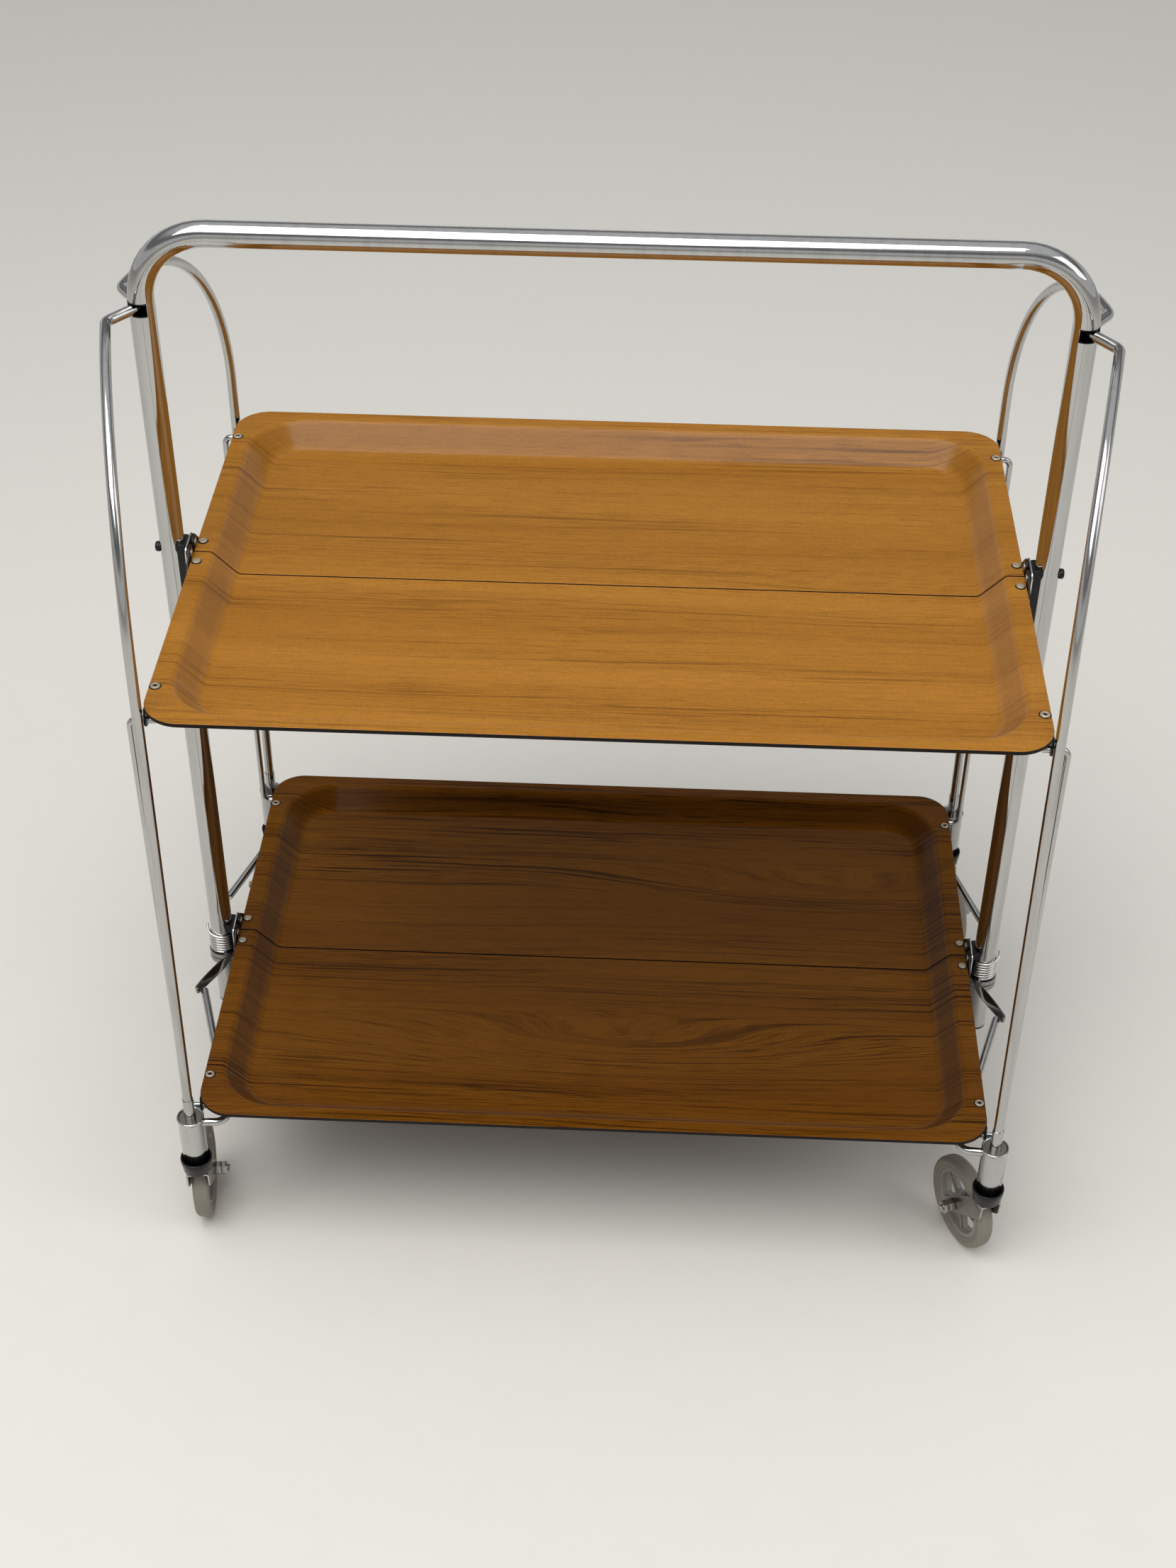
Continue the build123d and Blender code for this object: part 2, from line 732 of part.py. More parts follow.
def make_corner_brackets(level, end_name):
    """Steel brackets under the corners, each with an ear that the link rod hooks into."""
    rim = RIMS[level]
    end = ENDS[end_name]
    tab_top = rim - tray_thickness
    tab_middle = end * (corner_tab_start + corner_tab_end) / 2
    tab_length = corner_tab_end - corner_tab_start
    play = RUNNING_FIT if level == "upper" else open_pivot_clearance
    with BuildPart() as corner_brackets:
        for side in SIDES.values():
            with BuildSketch(along_x(side, corner_ear_x, 0, 0)):
                with Locations((side * end * link_y, rim - link_drop)):
                    Circle(corner_ear_radius)
                root = side * end * (link_y - corner_ear_radius)
                with Locations((root, tab_top - tab_thickness / 2)):
                    Rectangle(3 * corner_ear_radius, tab_thickness)
                make_hull()
            extrude(amount=ear_thickness)
            tab_x = corner_ear_x + ear_thickness - tab_width / 2
            with BuildSketch(Plane.XY.offset(tab_top)):
                with Locations((side * tab_x, tab_middle)):
                    Rectangle(tab_width, tab_length)
            extrude(amount=-tab_thickness)
            with BuildSketch(along_x(side, corner_ear_x - OVERRUN, end * link_y, rim - link_drop)):
                Circle(link_radius + play)
            extrude(amount=ear_thickness + 2 * OVERRUN, mode=Mode.SUBTRACT)
        with BuildSketch(Plane.XY.offset(tab_top)):
            with Locations(*rivet_points(end, corner_rivet_y)):
                Circle(rivet_shank_radius + TOUCH_FIT)
        extrude(amount=-tab_thickness, mode=Mode.SUBTRACT)
    save(corner_brackets, f"{level}_{end_name}_corner_brackets")


def make_link_rod(side_name, end_name):
    """Upright rod that ties the two trays together, hooked inward at both ends."""
    side = SIDES[side_name]
    y = ENDS[end_name] * link_y
    low = RIMS["lower"] - link_drop
    high = RIMS["upper"] - link_drop
    with BuildPart() as link_rod:
        with BuildLine() as route:
            FilletPolyline(
                (side * (link_x - link_hook), y, low),
                (side * link_x, y, low),
                (side * link_x, y, high),
                (side * (link_x - link_hook), y, high),
                radius=link_bend_radius,
            )
        with BuildSketch(Plane(origin=route.line @ 0, z_dir=route.line % 0)):
            Circle(link_radius)
        sweep(path=route.line)
    save(link_rod, f"{end_name}_{side_name}_link_rod")


def caster_base(side_name, end_name):
    """Floor plane of a caster, its X axis pointing from the stem to the wheel."""
    angle = math.radians(caster_angles[side_name, end_name])
    return Plane(
        origin=(SIDES[side_name] * leg_x, ENDS[end_name] * leg_y, 0),
        x_dir=(math.cos(angle), math.sin(angle), 0),
        z_dir=(0, 0, 1),
    )


def caster_side(base, offset):
    """Upright plane beside the wheel: local X runs to the wheel, local Y is up."""
    return Plane(origin=base.origin + base.y_dir * offset, x_dir=base.x_dir, z_dir=base.y_dir * -1)


def make_fork(side_name, end_name):
    """Pressed fork with its stem."""
    base = caster_base(side_name, end_name)
    inner = tyre_width / 2 + fork_side_gap
    outer = inner + fork_thickness
    with BuildPart() as fork:
        with BuildSketch(base.offset(fork_plate_height)):
            Rectangle(2 * fork_plate_half_length, 2 * outer)
        extrude(amount=fork_thickness)
        for offset in (outer, -inner):
            with BuildSketch(caster_side(base, offset)):
                with Locations((trail, wheel_radius)):
                    Circle(fork_axle_radius)
                with Locations((0, fork_shoulder_height)):
                    Circle(fork_shoulder_radius)
                with Locations((0, fork_plate_height)):
                    Rectangle(2 * fork_plate_half_length, 2 * fork_thickness)
                make_hull()
            extrude(amount=fork_thickness)
        with BuildSketch(caster_side(base, outer + OVERRUN)):
            with Locations((trail, wheel_radius)):
                Circle(axle_radius + TOUCH_FIT)
        extrude(amount=2 * outer + 2 * OVERRUN, mode=Mode.SUBTRACT)
        with BuildSketch(base.offset(fork_plate_height)):
            Circle(stem_radius)
        extrude(amount=stem_top - fork_plate_height)
    save(fork, f"{end_name}_{side_name}_caster_fork")


def make_axle(side_name, end_name):
    """Axle bolt with its two lock nuts on the inboard side."""
    base = caster_base(side_name, end_name)
    inward = SIDES[side_name]
    outer = tyre_width / 2 + fork_side_gap + fork_thickness
    length = 2 * outer + 2 * nut_height + fork_thickness
    head = caster_side(base, -inward * outer)
    nuts = caster_side(base, inward * outer)
    with BuildPart() as axle:
        with BuildSketch(head):
            with Locations((trail, wheel_radius)):
                Circle(axle_radius)
        extrude(amount=-inward * length)
        with BuildSketch(head):
            with Locations((trail, wheel_radius)):
                RegularPolygon(nut_across_corners / 2, 6)
        extrude(amount=inward * axle_head_height)
        for place in range(2):
            with BuildSketch(nuts.offset(-inward * place * (nut_height + TOUCH_FIT))):
                with Locations((trail, wheel_radius)):
                    RegularPolygon(nut_across_corners / 2, 6)
                    Circle(axle_radius + TOUCH_FIT, mode=Mode.SUBTRACT)
            extrude(amount=-inward * nut_height)
    save(axle, f"{end_name}_{side_name}_caster_axle")


def make_wheel(side_name, end_name):
    """Plastic wheel centre with windows between its spokes, and its rubber tyre."""
    base = caster_base(side_name, end_name)
    middle = caster_side(base, 0)
    centre = (trail, wheel_radius)
    rim_inner = tyre_inner_radius - wheel_rim_thickness
    with BuildPart() as wheel_hub:
        with BuildSketch(middle):
            with Locations(centre):
                Circle(tyre_inner_radius)
        extrude(amount=web_thickness / 2, both=True)
        with BuildSketch(middle):
            with Locations(centre):
                Circle(tyre_inner_radius)
                Circle(rim_inner, mode=Mode.SUBTRACT)
        extrude(amount=wheel_rim_width / 2, both=True)
        with BuildSketch(middle):
            with Locations(centre):
                Circle(boss_radius)
        extrude(amount=tyre_width / 2 + fork_side_gap - BODY_GAP, both=True)
        with BuildSketch(middle):
            with Locations(centre):
                with PolarLocations((rim_inner + boss_radius) / 2, spoke_count):
                    RectangleRounded(window_depth, window_width, window_depth / 4)
        extrude(amount=web_thickness, both=True, mode=Mode.SUBTRACT)
        with BuildSketch(middle):
            with Locations(centre):
                Circle(axle_radius + RUNNING_FIT)
        extrude(amount=tyre_width, both=True, mode=Mode.SUBTRACT)
    save(wheel_hub, f"{end_name}_{side_name}_wheel_centre")
    with BuildPart() as tyre:
        with BuildSketch(middle):
            with Locations(centre):
                Circle(wheel_radius)
                Circle(tyre_inner_radius, mode=Mode.SUBTRACT)
        extrude(amount=tyre_width / 2, both=True)
        rims = tyre.edges().filter_by(GeomType.CIRCLE)
        outer_rims = ShapeList(edge for edge in rims if edge.radius > tyre_inner_radius + web_thickness)
        fillet(outer_rims, radius=tyre_edge_radius)
    save(tyre, f"{end_name}_{side_name}_tyre")


make_main_tube()
make_tube_plugs()
make_slot_linings()
make_leg_sleeves()
make_sleeve_bushes()
make_caster_cups()
make_braces()
make_levers()
make_hinge_blocks()
make_hinge_plates()
make_hinge_pins()
make_cross_bolts()
report_spring_gap()
for side_name in SIDES:
    make_spring(side_name)
    for end_name in ENDS:
        make_leg_rod(side_name, end_name)
        make_link_rod(side_name, end_name)
        make_fork(side_name, end_name)
        make_axle(side_name, end_name)
        make_wheel(side_name, end_name)
for level, rim in RIMS.items():
    tray = whole_tray(rim)
    for end_name in ENDS:
        make_tray_half(level, end_name, tray)
        make_rivets(level, end_name)
        make_hinge_brackets(level, end_name)
        make_corner_brackets(level, end_name)
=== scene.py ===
"""Looks of a folding serving trolley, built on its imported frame."""

import math

import bmesh
import bpy
from mathutils import Matrix, Vector


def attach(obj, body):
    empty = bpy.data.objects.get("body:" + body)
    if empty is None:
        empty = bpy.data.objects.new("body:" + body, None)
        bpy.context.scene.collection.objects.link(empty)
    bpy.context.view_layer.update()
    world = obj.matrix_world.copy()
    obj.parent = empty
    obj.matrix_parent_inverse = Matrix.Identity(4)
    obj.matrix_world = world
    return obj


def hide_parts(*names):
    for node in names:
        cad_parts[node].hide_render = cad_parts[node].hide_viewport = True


MM = 0.001
SIDES = {"left": -1, "right": 1}
ENDS = {"front": -1, "rear": 1}

# Sizes and places of the object, in millimetres and degrees, as the solids have them. A pin's place
# is its distance from the seam and its height over the rim.
RIMS = {"upper": 512.0, "lower": 141.0}
HALF_LENGTH = 300.0
HALF_WIDTH = 206.5
SEAM_Y = 0.5
TRAY_CORNER = 26.0
TRAY_THICKNESS = 3.2
TRAY_DEPTH = 18.5
RECESS_INSET = (13.0, 11.0)
RECESS_CORNER = 44.0
SLOPE_RUN = 18.0
RIM_BEND = 5.0
FLOOR_BEND = 7.0
HINGE_PIN = (7.5, 3.3)
CORNER_PIN = (186.0, -13.0)
HINGE_PIN_RADIUS = 2.0
LINK_RADIUS = 2.4
BORE_PLAY = 0.06
OPENED_PIVOT_PLAY = 0.35
TAB_UNDER_RIM = 4.7
SHEET_THICKNESS = 1.5
RIVET_INSET = 4.4
HINGE_RIVET_Y = 13.5
CORNER_RIVET_Y = 165.7
LEG = (306.0, 199.5)
TUBE_X = 315.0
TUBE_RADIUS = 9.0
TUBE_BORE = 9.05
HUB_HEIGHTS = {"front": 117.2, "rear": 111.8}
LEVER_ANGLE = 69.0
LEVER_LENGTH = 60.0
LEVER_TIP_HEIGHT = 127.0
CASTER_ANGLES = {
    ("left", "front"): 97.0,
    ("right", "front"): 115.0,
    ("left", "rear"): -96.0,
    ("right", "rear"): -80.0,
}
TRAIL = 29.0
WHEEL_RADIUS = 37.5
FORK_HALF_WIDTH = 9.0
SPOKES = 5

# The photograph's camera, in metres and radians, with its height and focal length in pixels.
CAMERA_PLACE = (0.0403, -1.3561, 1.3959)
CAMERA_TURN = (-0.0387, -0.6759, 0.0094)
PHOTO_HEIGHT = 2212
FOCAL_LENGTH = 3150.0
SENSOR = 36.0

# Fine warps of the teak figure: scale along each axis, depth in metres.
FIGURE_WARPS = (((6.0, 30.0, 0.0), 0.004), ((40.0, 160.0, 0.0), 0.0006))
# Layers of dark lines in it: scale along each axis, noise where a line starts and is full, weight.
FIGURE_LINES = (
    ((1.3, 90.0, 0.0), 0.5, 0.78, 0.35),
    ((2.4, 240.0, 0.0), 0.55, 0.68, 0.75),
    ((6.0, 480.0, 0.0), 0.54, 0.68, 0.8),
    ((22.0, 900.0, 0.0), 0.52, 0.7, 0.75),
)
DARKEST_LINE = 0.85

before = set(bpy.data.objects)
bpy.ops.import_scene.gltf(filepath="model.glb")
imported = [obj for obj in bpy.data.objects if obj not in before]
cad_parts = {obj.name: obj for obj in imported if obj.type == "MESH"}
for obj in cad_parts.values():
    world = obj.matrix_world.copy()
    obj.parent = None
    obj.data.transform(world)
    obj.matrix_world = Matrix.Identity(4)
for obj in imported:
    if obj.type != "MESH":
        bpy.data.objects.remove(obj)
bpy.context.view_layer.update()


def linear(code):
    """Linear colour of a hex code."""
    parts = [int(code[i : i + 2], 16) / 255 for i in (1, 3, 5)]
    return [p / 12.92 if p < 0.04045 else ((p + 0.055) / 1.055) ** 2.4 for p in parts] + [1.0]


class Finish:
    """A material and its node graph."""

    def __init__(self, name):
        self.material = bpy.data.materials.new(name)
        self.material.use_nodes = True
        self.tree = self.material.node_tree
        self.shader = self.tree.nodes["Principled BSDF"]
        self.place = self.tree.nodes.new("ShaderNodeTexCoord").outputs["Object"]

    def put(self, socket, value):
        """Links a socket, or sets its plain value."""
        if isinstance(value, bpy.types.NodeSocket):
            self.tree.links.new(value, socket)
        else:
            socket.default_value = value

    def add(self, kind, out=0, inputs=None, **settings):
        """A new node with its settings and inputs; gives one of its outputs."""
        made = self.tree.nodes.new("ShaderNode" + kind)
        for key, value in settings.items():
            setattr(made, key, value)
        for key, value in (inputs or {}).items():
            self.put(made.inputs[key], value)
        return made.outputs[out]

    def stretch(self, scale, shift=(0, 0, 0)):
        """The object's own coordinates in metres, scaled along each axis and shifted."""
        return self.add("Mapping", inputs={"Vector": self.place, "Scale": scale, "Location": shift})

    def noise(self, scale, shift=(0, 0, 0), detail=3.0, roughness=0.5):
        """Noise stretched by a different scale along each axis."""
        return self.add(
            "TexNoise",
            inputs={
                "Vector": self.stretch(scale, shift),
                "Scale": 1.0,
                "Detail": detail,
                "Roughness": roughness,
            },
        )

    def maths(self, operation, a, b=0.0, c=0.0):
        """The result of an operation on up to three values."""
        return self.add("Math", operation=operation, inputs={0: a, 1: b, 2: c})

    def ramp(self, factor, low, high, start=0.0, stop=1.0):
        """A value moved from one span to another, with smooth ends."""
        return self.add(
            "MapRange",
            interpolation_type="SMOOTHSTEP",
            inputs={"Value": factor, "From Min": low, "From Max": high, "To Min": start, "To Max": stop},
        )

    def mix(self, factor, first, second):
        """Two colours mixed."""
        made = self.tree.nodes.new("ShaderNodeMix")
        made.data_type = "RGBA"
        self.put(made.inputs[0], factor)
        self.put(made.inputs[6], first)
        self.put(made.inputs[7], second)
        return made.outputs[2]

    def bump(self, height, distance, strength):
        """A bump over the whole surface, its distance in metres."""
        normal = self.add("Bump", inputs={"Height": height, "Distance": distance, "Strength": strength})
        self.put(self.shader.inputs["Normal"], normal)

    def set(self, **values):
        """Values or links of the shader's own sockets."""
        for key, value in values.items():
            self.put(self.shader.inputs[key.replace("_", " ")], value)


def wood_finish(name, rim, shift, tones, swelling, eyes, strength, gloss, slope_painted_shade):
    """Satin laminate with a printed straight-grained teak figure along X.

    Each eye is the middle, the half lengths and the rise of a closed place in the figure. The slopes of the
    tray, below its rim, are darkened by painted shade, mixed towards the dark tone by the slope painted
    shade. Lengths are in metres."""
    f = Finish(name)
    pale, middle, dark = (linear(tone) for tone in tones)
    split = f.tree.nodes.new("ShaderNodeSeparateXYZ")
    f.put(split.inputs[0], f.place)
    along, across, up = split.outputs
    for scale, depth in (((1.5, 8.0, 0.0), swelling), *FIGURE_WARPS):
        across = f.maths("MULTIPLY_ADD", f.noise(scale, shift, detail=2.0), depth, across)
    for x, y, half_length, half_width, rise in eyes:
        around = f.stretch((1 / half_length, 1 / half_width, 0.0), (-x / half_length, -y / half_width, 0.0))
        away = f.add("VectorMath", 1, {0: around}, operation="LENGTH")
        across = f.maths("MULTIPLY_ADD", f.ramp(away, 0.0, 1.0, 1.0, 0.0), rise, across)
    speck = f.noise((700.0, 1100.0, 700.0), detail=2.0)
    haze = f.noise((7.0, 5.0, 7.0), detail=4.0)
    outer = f.ramp(f.maths("ABSOLUTE", along), 0.255, 0.29, 1.0, 1.2)
    f.place = f.add("CombineXYZ", inputs={0: along, 1: across})
    base = f.mix(f.ramp(f.noise((0.9, 16.0, 0.0), shift), 0.32, 0.68), pale, middle)
    patch = f.ramp(f.noise((2.2, 28.0, 0.0), shift, detail=2.0), 0.4, 0.62, 0.25, 1.0)
    for scale, low, high, weight in FIGURE_LINES:
        line = f.ramp(f.noise(scale, shift, detail=2.5), low, high, 0.0, weight * strength)
        line = f.maths("MULTIPLY", line, f.maths("MULTIPLY", patch, outer))
        base = f.mix(f.maths("MINIMUM", line, DARKEST_LINE), base, dark)
    fibre = f.noise((45.0, 1700.0, 0.0), shift, detail=3.0, roughness=0.7)
    base = f.mix(f.ramp(fibre, 0.42, 0.72, 0.0, 0.34), base, dark)
    base = f.mix(f.ramp(speck, 0.4, 0.75, 0.0, 0.22), base, dark)
    # Painted shade: the slopes between the floor and the rim are mixed towards the dark tone, as they lie in
    # shade.
    above_floor = f.ramp(up, rim - 0.0175, rim - 0.012, 0.0, slope_painted_shade)
    below_rim = f.ramp(up, rim - 0.004, rim - 0.0015, slope_painted_shade, 0.0)
    base = f.mix(f.maths("MINIMUM", above_floor, below_rim), base, dark)
    rough = f.ramp(haze, 0.3, 0.7, 0.15, 0.24)
    f.set(Base_Color=base, Roughness=rough, Specular_IOR_Level=gloss)
    f.bump(f.maths("MULTIPLY_ADD", fibre, 0.5, speck), 0.00005, 0.4)
    return f.material


def chrome_finish(name, tone, clouded, rough_low, rough_high, scratch):
    """Bright plating with fine scratches, faint pits, clouding and finger haze."""
    f = Finish(name)
    haze = f.noise((14.0, 14.0, 9.0), detail=4.0, roughness=0.6)
    rough = f.ramp(haze, 0.3, 0.75, rough_low, rough_high)
    cloud = f.noise((170.0, 170.0, 14.0), detail=4.0, roughness=0.6)
    tint = f.mix(f.ramp(cloud, 0.42, 0.75, 0.0, 0.5), linear(tone), linear(clouded))
    pits = f.ramp(f.noise((900.0, 900.0, 700.0), detail=1.0), 0.7, 0.78)
    tint = f.mix(f.maths("MULTIPLY", pits, 0.3), tint, linear("#6d675f"))
    f.set(Base_Color=tint, Metallic=1.0, Roughness=rough)
    lines = f.noise((1800.0, 1800.0, 40.0), detail=2.0)
    f.bump(f.maths("MULTIPLY_ADD", cloud, 0.6, lines), scratch, 0.4)
    return f.material


def plain_finish(name, tone, worn, rough, grain_scale, grain_depth, metallic=0.0, wear=0.5, gloss=0.5):
    """Moulded or cast surface with a fine grain and uneven wear."""
    f = Finish(name)
    patches = f.noise((24.0, 24.0, 24.0), detail=5.0, roughness=0.65)
    fine = f.noise((grain_scale,) * 3, detail=2.0)
    tint = f.mix(f.ramp(patches, 0.4, 0.8, 0.0, wear), linear(tone), linear(worn))
    tint = f.mix(f.ramp(fine, 0.5, 0.9, 0.0, 0.2), tint, linear(worn))
    f.set(
        Base_Color=tint,
        Metallic=metallic,
        Specular_IOR_Level=gloss,
        Roughness=f.ramp(patches, 0.25, 0.75, rough - 0.08, rough + 0.1),
    )
    f.bump(fine, grain_depth, 0.6)
    return f.material


UPPER_WOOD = wood_finish(
    "upper_wood",
    rim=RIMS["upper"] * MM,
    shift=(0.31, 0.07, 0.0),
    tones=("#ac7428", "#9d671e", "#452307"),
    swelling=0.02,
    eyes=[(0.21, -0.01, 0.3, 0.05, 0.014)],
    strength=0.5,
    gloss=0.2,
    slope_painted_shade=0.2,
)
# Same laminate as the upper tray; its darker tones and stronger slope darkening are painted shade, for the
# shade the upper tray casts on it.
SHADED_LOWER_WOOD = wood_finish(
    "lower_wood_painted_shade",
    rim=RIMS["lower"] * MM,
    shift=(2.63, 1.41, 0.0),
    tones=("#7d4d10", "#70420c", "#1c0b02"),
    swelling=0.03,
    eyes=[(0.02, -0.105, 0.34, 0.048, 0.034), (0.2, 0.09, 0.3, 0.045, 0.03)],
    strength=0.95,
    gloss=0.09,
    slope_painted_shade=0.36,
)
# Dark edge of the laminate; the same finish is also the painted shadow round the rivet heads and the painted
# shade in the hollow rivets' holes.
DARK_EDGE_AND_SHADE = plain_finish("tray_edge_and_painted_shade", "#120c08", "#241811", 0.5, 900.0, 0.00004, gloss=0.15)
BACKING = plain_finish("tray_backing", "#4a2b17", "#5a3820", 0.4, 700.0, 0.00004)
CHROME = chrome_finish("chrome", "#bdbdbc", "#a6a6a5", 0.045, 0.13, 0.000004)
ROD_CHROME = chrome_finish("rod_chrome", "#babab8", "#a0a09e", 0.06, 0.16, 0.000006)
ZINC = plain_finish("zinc", "#bdbab2", "#8d887c", 0.3, 800.0, 0.00002, metallic=1.0)
# Painted shade: a darker copy of the zinc, for the faces of the caster forks and the bushes sunk in the
# sleeve tops.
SHADED_ZINC = plain_finish("zinc_painted_shade", "#8e8a83", "#5d5952", 0.28, 700.0, 0.00003, metallic=1.0)
RIVET = plain_finish("rivet", "#b3a892", "#857a67", 0.42, 900.0, 0.00002, metallic=0.55)
# Painted reflection: a darker copy of the chrome, for the dark surroundings the levers reflect.
DARKENED_LEVER_CHROME = chrome_finish("lever_chrome_painted_reflection", "#8f8f8d", "#757572", 0.08, 0.18, 0.000003)
# Spring steel; also the painted highlight on the hinge plates' edges.
SPRING_AND_EDGE_HIGHLIGHT = chrome_finish("spring_steel_and_edge_highlight", "#d8d6d2", "#bbb8b2", 0.1, 0.22, 0.000003)
BLACK = plain_finish("black_plastic", "#0e0e0e", "#1c1c1b", 0.26, 1100.0, 0.00003, gloss=0.3)
DARK_STEEL = plain_finish("dark_steel", "#1f1f21", "#3b3832", 0.34, 900.0, 0.00003, metallic=0.7)
RUBBER = plain_finish("rubber", "#7d776b", "#938c80", 0.6, 600.0, 0.00012, wear=0.7)
WHEEL = plain_finish("wheel_plastic", "#837e76", "#99948b", 0.36, 800.0, 0.00005)

# The finish of a CAD node, by the first of these words in its name. The others are chrome.
NODE_FINISHES = (
    (("upper_front_tray", "upper_rear_tray"), UPPER_WOOD),
    (("tray",), SHADED_LOWER_WOOD),
    (("leg_rod", "link_rod", "brace"), ROD_CHROME),
    # The bushes get the darker zinc as painted shade.
    (("bush",), SHADED_ZINC),
    (("plug", "lining", "cup", "block", "cap"), BLACK),
    (("bracket",), DARK_STEEL),
    (("rivet",), RIVET),
    (("pin", "axle", "fork"), ZINC),
    (("tyre",), RUBBER),
    (("wheel",), WHEEL),
    (("spring",), SPRING_AND_EDGE_HIGHLIGHT),
)


def paint(name, shown):
    """Gives a CAD node its finish."""
    finishes = (finish for words, finish in NODE_FINISHES if any(word in name for word in words))
    shown.data.materials.clear()
    shown.data.materials.append(next(finishes, CHROME))


def new_object(name, data, body, materials, replaced):
    """Links a finished piece with its finishes, lets it ride on its body and hides the parts it stands for.
    """
    piece = bpy.data.objects.new(name, data)
    bpy.context.scene.collection.objects.link(piece)
    for material in materials:
        data.materials.append(material)
    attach(piece, body)
    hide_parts(*replaced)
    return piece


def new_piece(name, parts, body, materials, replaced, sharp=38.0):
    """A finished piece made of parts, with its edges past the sharp angle left sharp."""
    return new_object(name, assemble(name, parts, sharp), body, materials, replaced)


def assemble(name, parts, sharp):
    """A mesh in metres from parts in millimetres, each points, faces, matrix and finish index."""
    made = bmesh.new()
    for points, faces, matrix, place in parts:
        verts = [made.verts.new(matrix @ Vector(p)) for p in points]
        for face in faces:
            if len(set(face)) > 2:
                made.faces.new([verts[i] for i in face]).material_index = place
        bmesh.ops.remove_doubles(made, verts=verts, dist=0.001)
    bmesh.ops.recalc_face_normals(made, faces=made.faces)
    for face in made.faces:
        face.smooth = True
    for edge in made.edges:
        if edge.calc_face_angle(0) > math.radians(sharp):
            edge.smooth = False
    bmesh.ops.scale(made, vec=(MM, MM, MM), verts=made.verts)
    data = bpy.data.meshes.new(name)
    made.to_mesh(data)
    made.free()
    return data


def mark_edges(piece, way):
    """Gives the second finish to the faces of a sheet piece that don't face along a direction."""
    for face in piece.data.polygons:
        face.material_index = int(abs(face.normal @ way) < 0.95)


def lathe(profile, turns, closed=False):
    """Points and faces of a profile of radius and height, turned about Z."""
    points = [
        (r * math.cos(2 * math.pi * k / turns), r * math.sin(2 * math.pi * k / turns), h)
        for r, h in profile
        for k in range(turns)
    ]
    faces = []
    rows = len(profile)
    for i in range(rows if closed else rows - 1):
        here = i * turns
        there = (i + 1) % rows * turns
        for k in range(turns):
            after = (k + 1) % turns
            faces.append((here + k, here + after, there + after, there + k))
    return points, faces


def arc(x, y, radius, start, stop, steps):
    """Points of an arc, its angles in degrees."""
    turns = [math.radians(start + (stop - start) * i / steps) for i in range(steps + 1)]
    return [(x + radius * math.cos(a), y + radius * math.sin(a)) for a in turns]


def ring(x, y, radius, steps=32):
    """Points of a full circle."""
    return arc(x, y, radius, 0, 360, steps)[:-1]


def rounded_box(x, y, width, height, radius, steps=6):
    """Outline of a rounded rectangle about its middle."""
    a = width / 2 - radius
    b = height / 2 - radius
    loop = []
    for k, (u, v) in enumerate(((a, b), (-a, b), (-a, -b), (a, -b))):
        loop += arc(x + u, y + v, radius, 90 * k, 90 * k + 90, steps)
    return loop


def round_corners(loop, radius):
    """Outline with its sharp corners cut to short arcs."""
    made = []
    for i, spot in enumerate(loop):
        here = Vector(spot)
        back = Vector(loop[i - 1]) - here
        ahead = Vector(loop[(i + 1) % len(loop)]) - here
        if back.angle(ahead) > math.radians(150):
            made.append(spot)
            continue
        first = here + back.normalized() * min(radius, back.length * 0.45)
        last = here + ahead.normalized() * min(radius, ahead.length * 0.45)
        for t in (0.0, 0.25, 0.5, 0.75, 1.0):
            point = first * (1 - t) ** 2 + here * 2 * t * (1 - t) + last * t * t
            made.append((point.x, point.y))
    return made


def hull(points):
    """Outline of the smallest convex shape round the points."""
    ordered = sorted(set((round(x, 5), round(y, 5)) for x, y in points))

    def half(rows):
        chain = []
        for p in rows:
            while len(chain) > 1:
                (ax, ay), (bx, by) = chain[-2:]
                if (bx - ax) * (p[1] - ay) - (by - ay) * (p[0] - ax) > 0:
                    break
                chain.pop()
            chain.append(p)
        return chain[:-1]

    return half(ordered) + half(reversed(ordered))


def plate(loops, thickness, edge):
    """Points and faces of a plate with rounded edges that lies on Z 0 and rises."""
    curve = bpy.data.curves.new("outline", "CURVE")
    curve.dimensions = "2D"
    curve.fill_mode = "BOTH"
    curve.extrude = thickness / 2 - edge
    curve.bevel_depth = edge
    curve.bevel_resolution = 2
    curve.offset = -edge
    for loop in loops:
        spline = curve.splines.new("POLY")
        spline.points.add(len(loop) - 1)
        for spot, (x, y) in zip(spline.points, loop):
            spot.co = (x, y, 0, 1)
        spline.use_cyclic_u = True
    holder = bpy.data.objects.new("outline", curve)
    data = bpy.data.meshes.new_from_object(holder)
    points = [(v.co.x, v.co.y, v.co.z + thickness / 2) for v in data.vertices]
    faces = [tuple(p.vertices) for p in data.polygons]
    bpy.data.objects.remove(holder)
    bpy.data.meshes.remove(data)
    bpy.data.curves.remove(curve)
    return points, faces


def space(origin, x_way, y_way):
    """Matrix of a place with its own X and Y directions."""
    x_way = Vector(x_way).normalized()
    y_way = Vector(y_way).normalized()
    turn = Matrix((x_way, y_way, x_way.cross(y_way))).transposed()
    return Matrix.Translation(origin) @ turn.to_4x4()


def outboard(side, x, y=0.0, z=0.0):
    """Place on a side whose Z points outboard, X along the row's Y and Y along its Z."""
    if side > 0:
        return space((x, y, z), (0, 1, 0), (0, 0, 1))
    return space((-x, y, z), (0, -1, 0), (0, 0, 1))


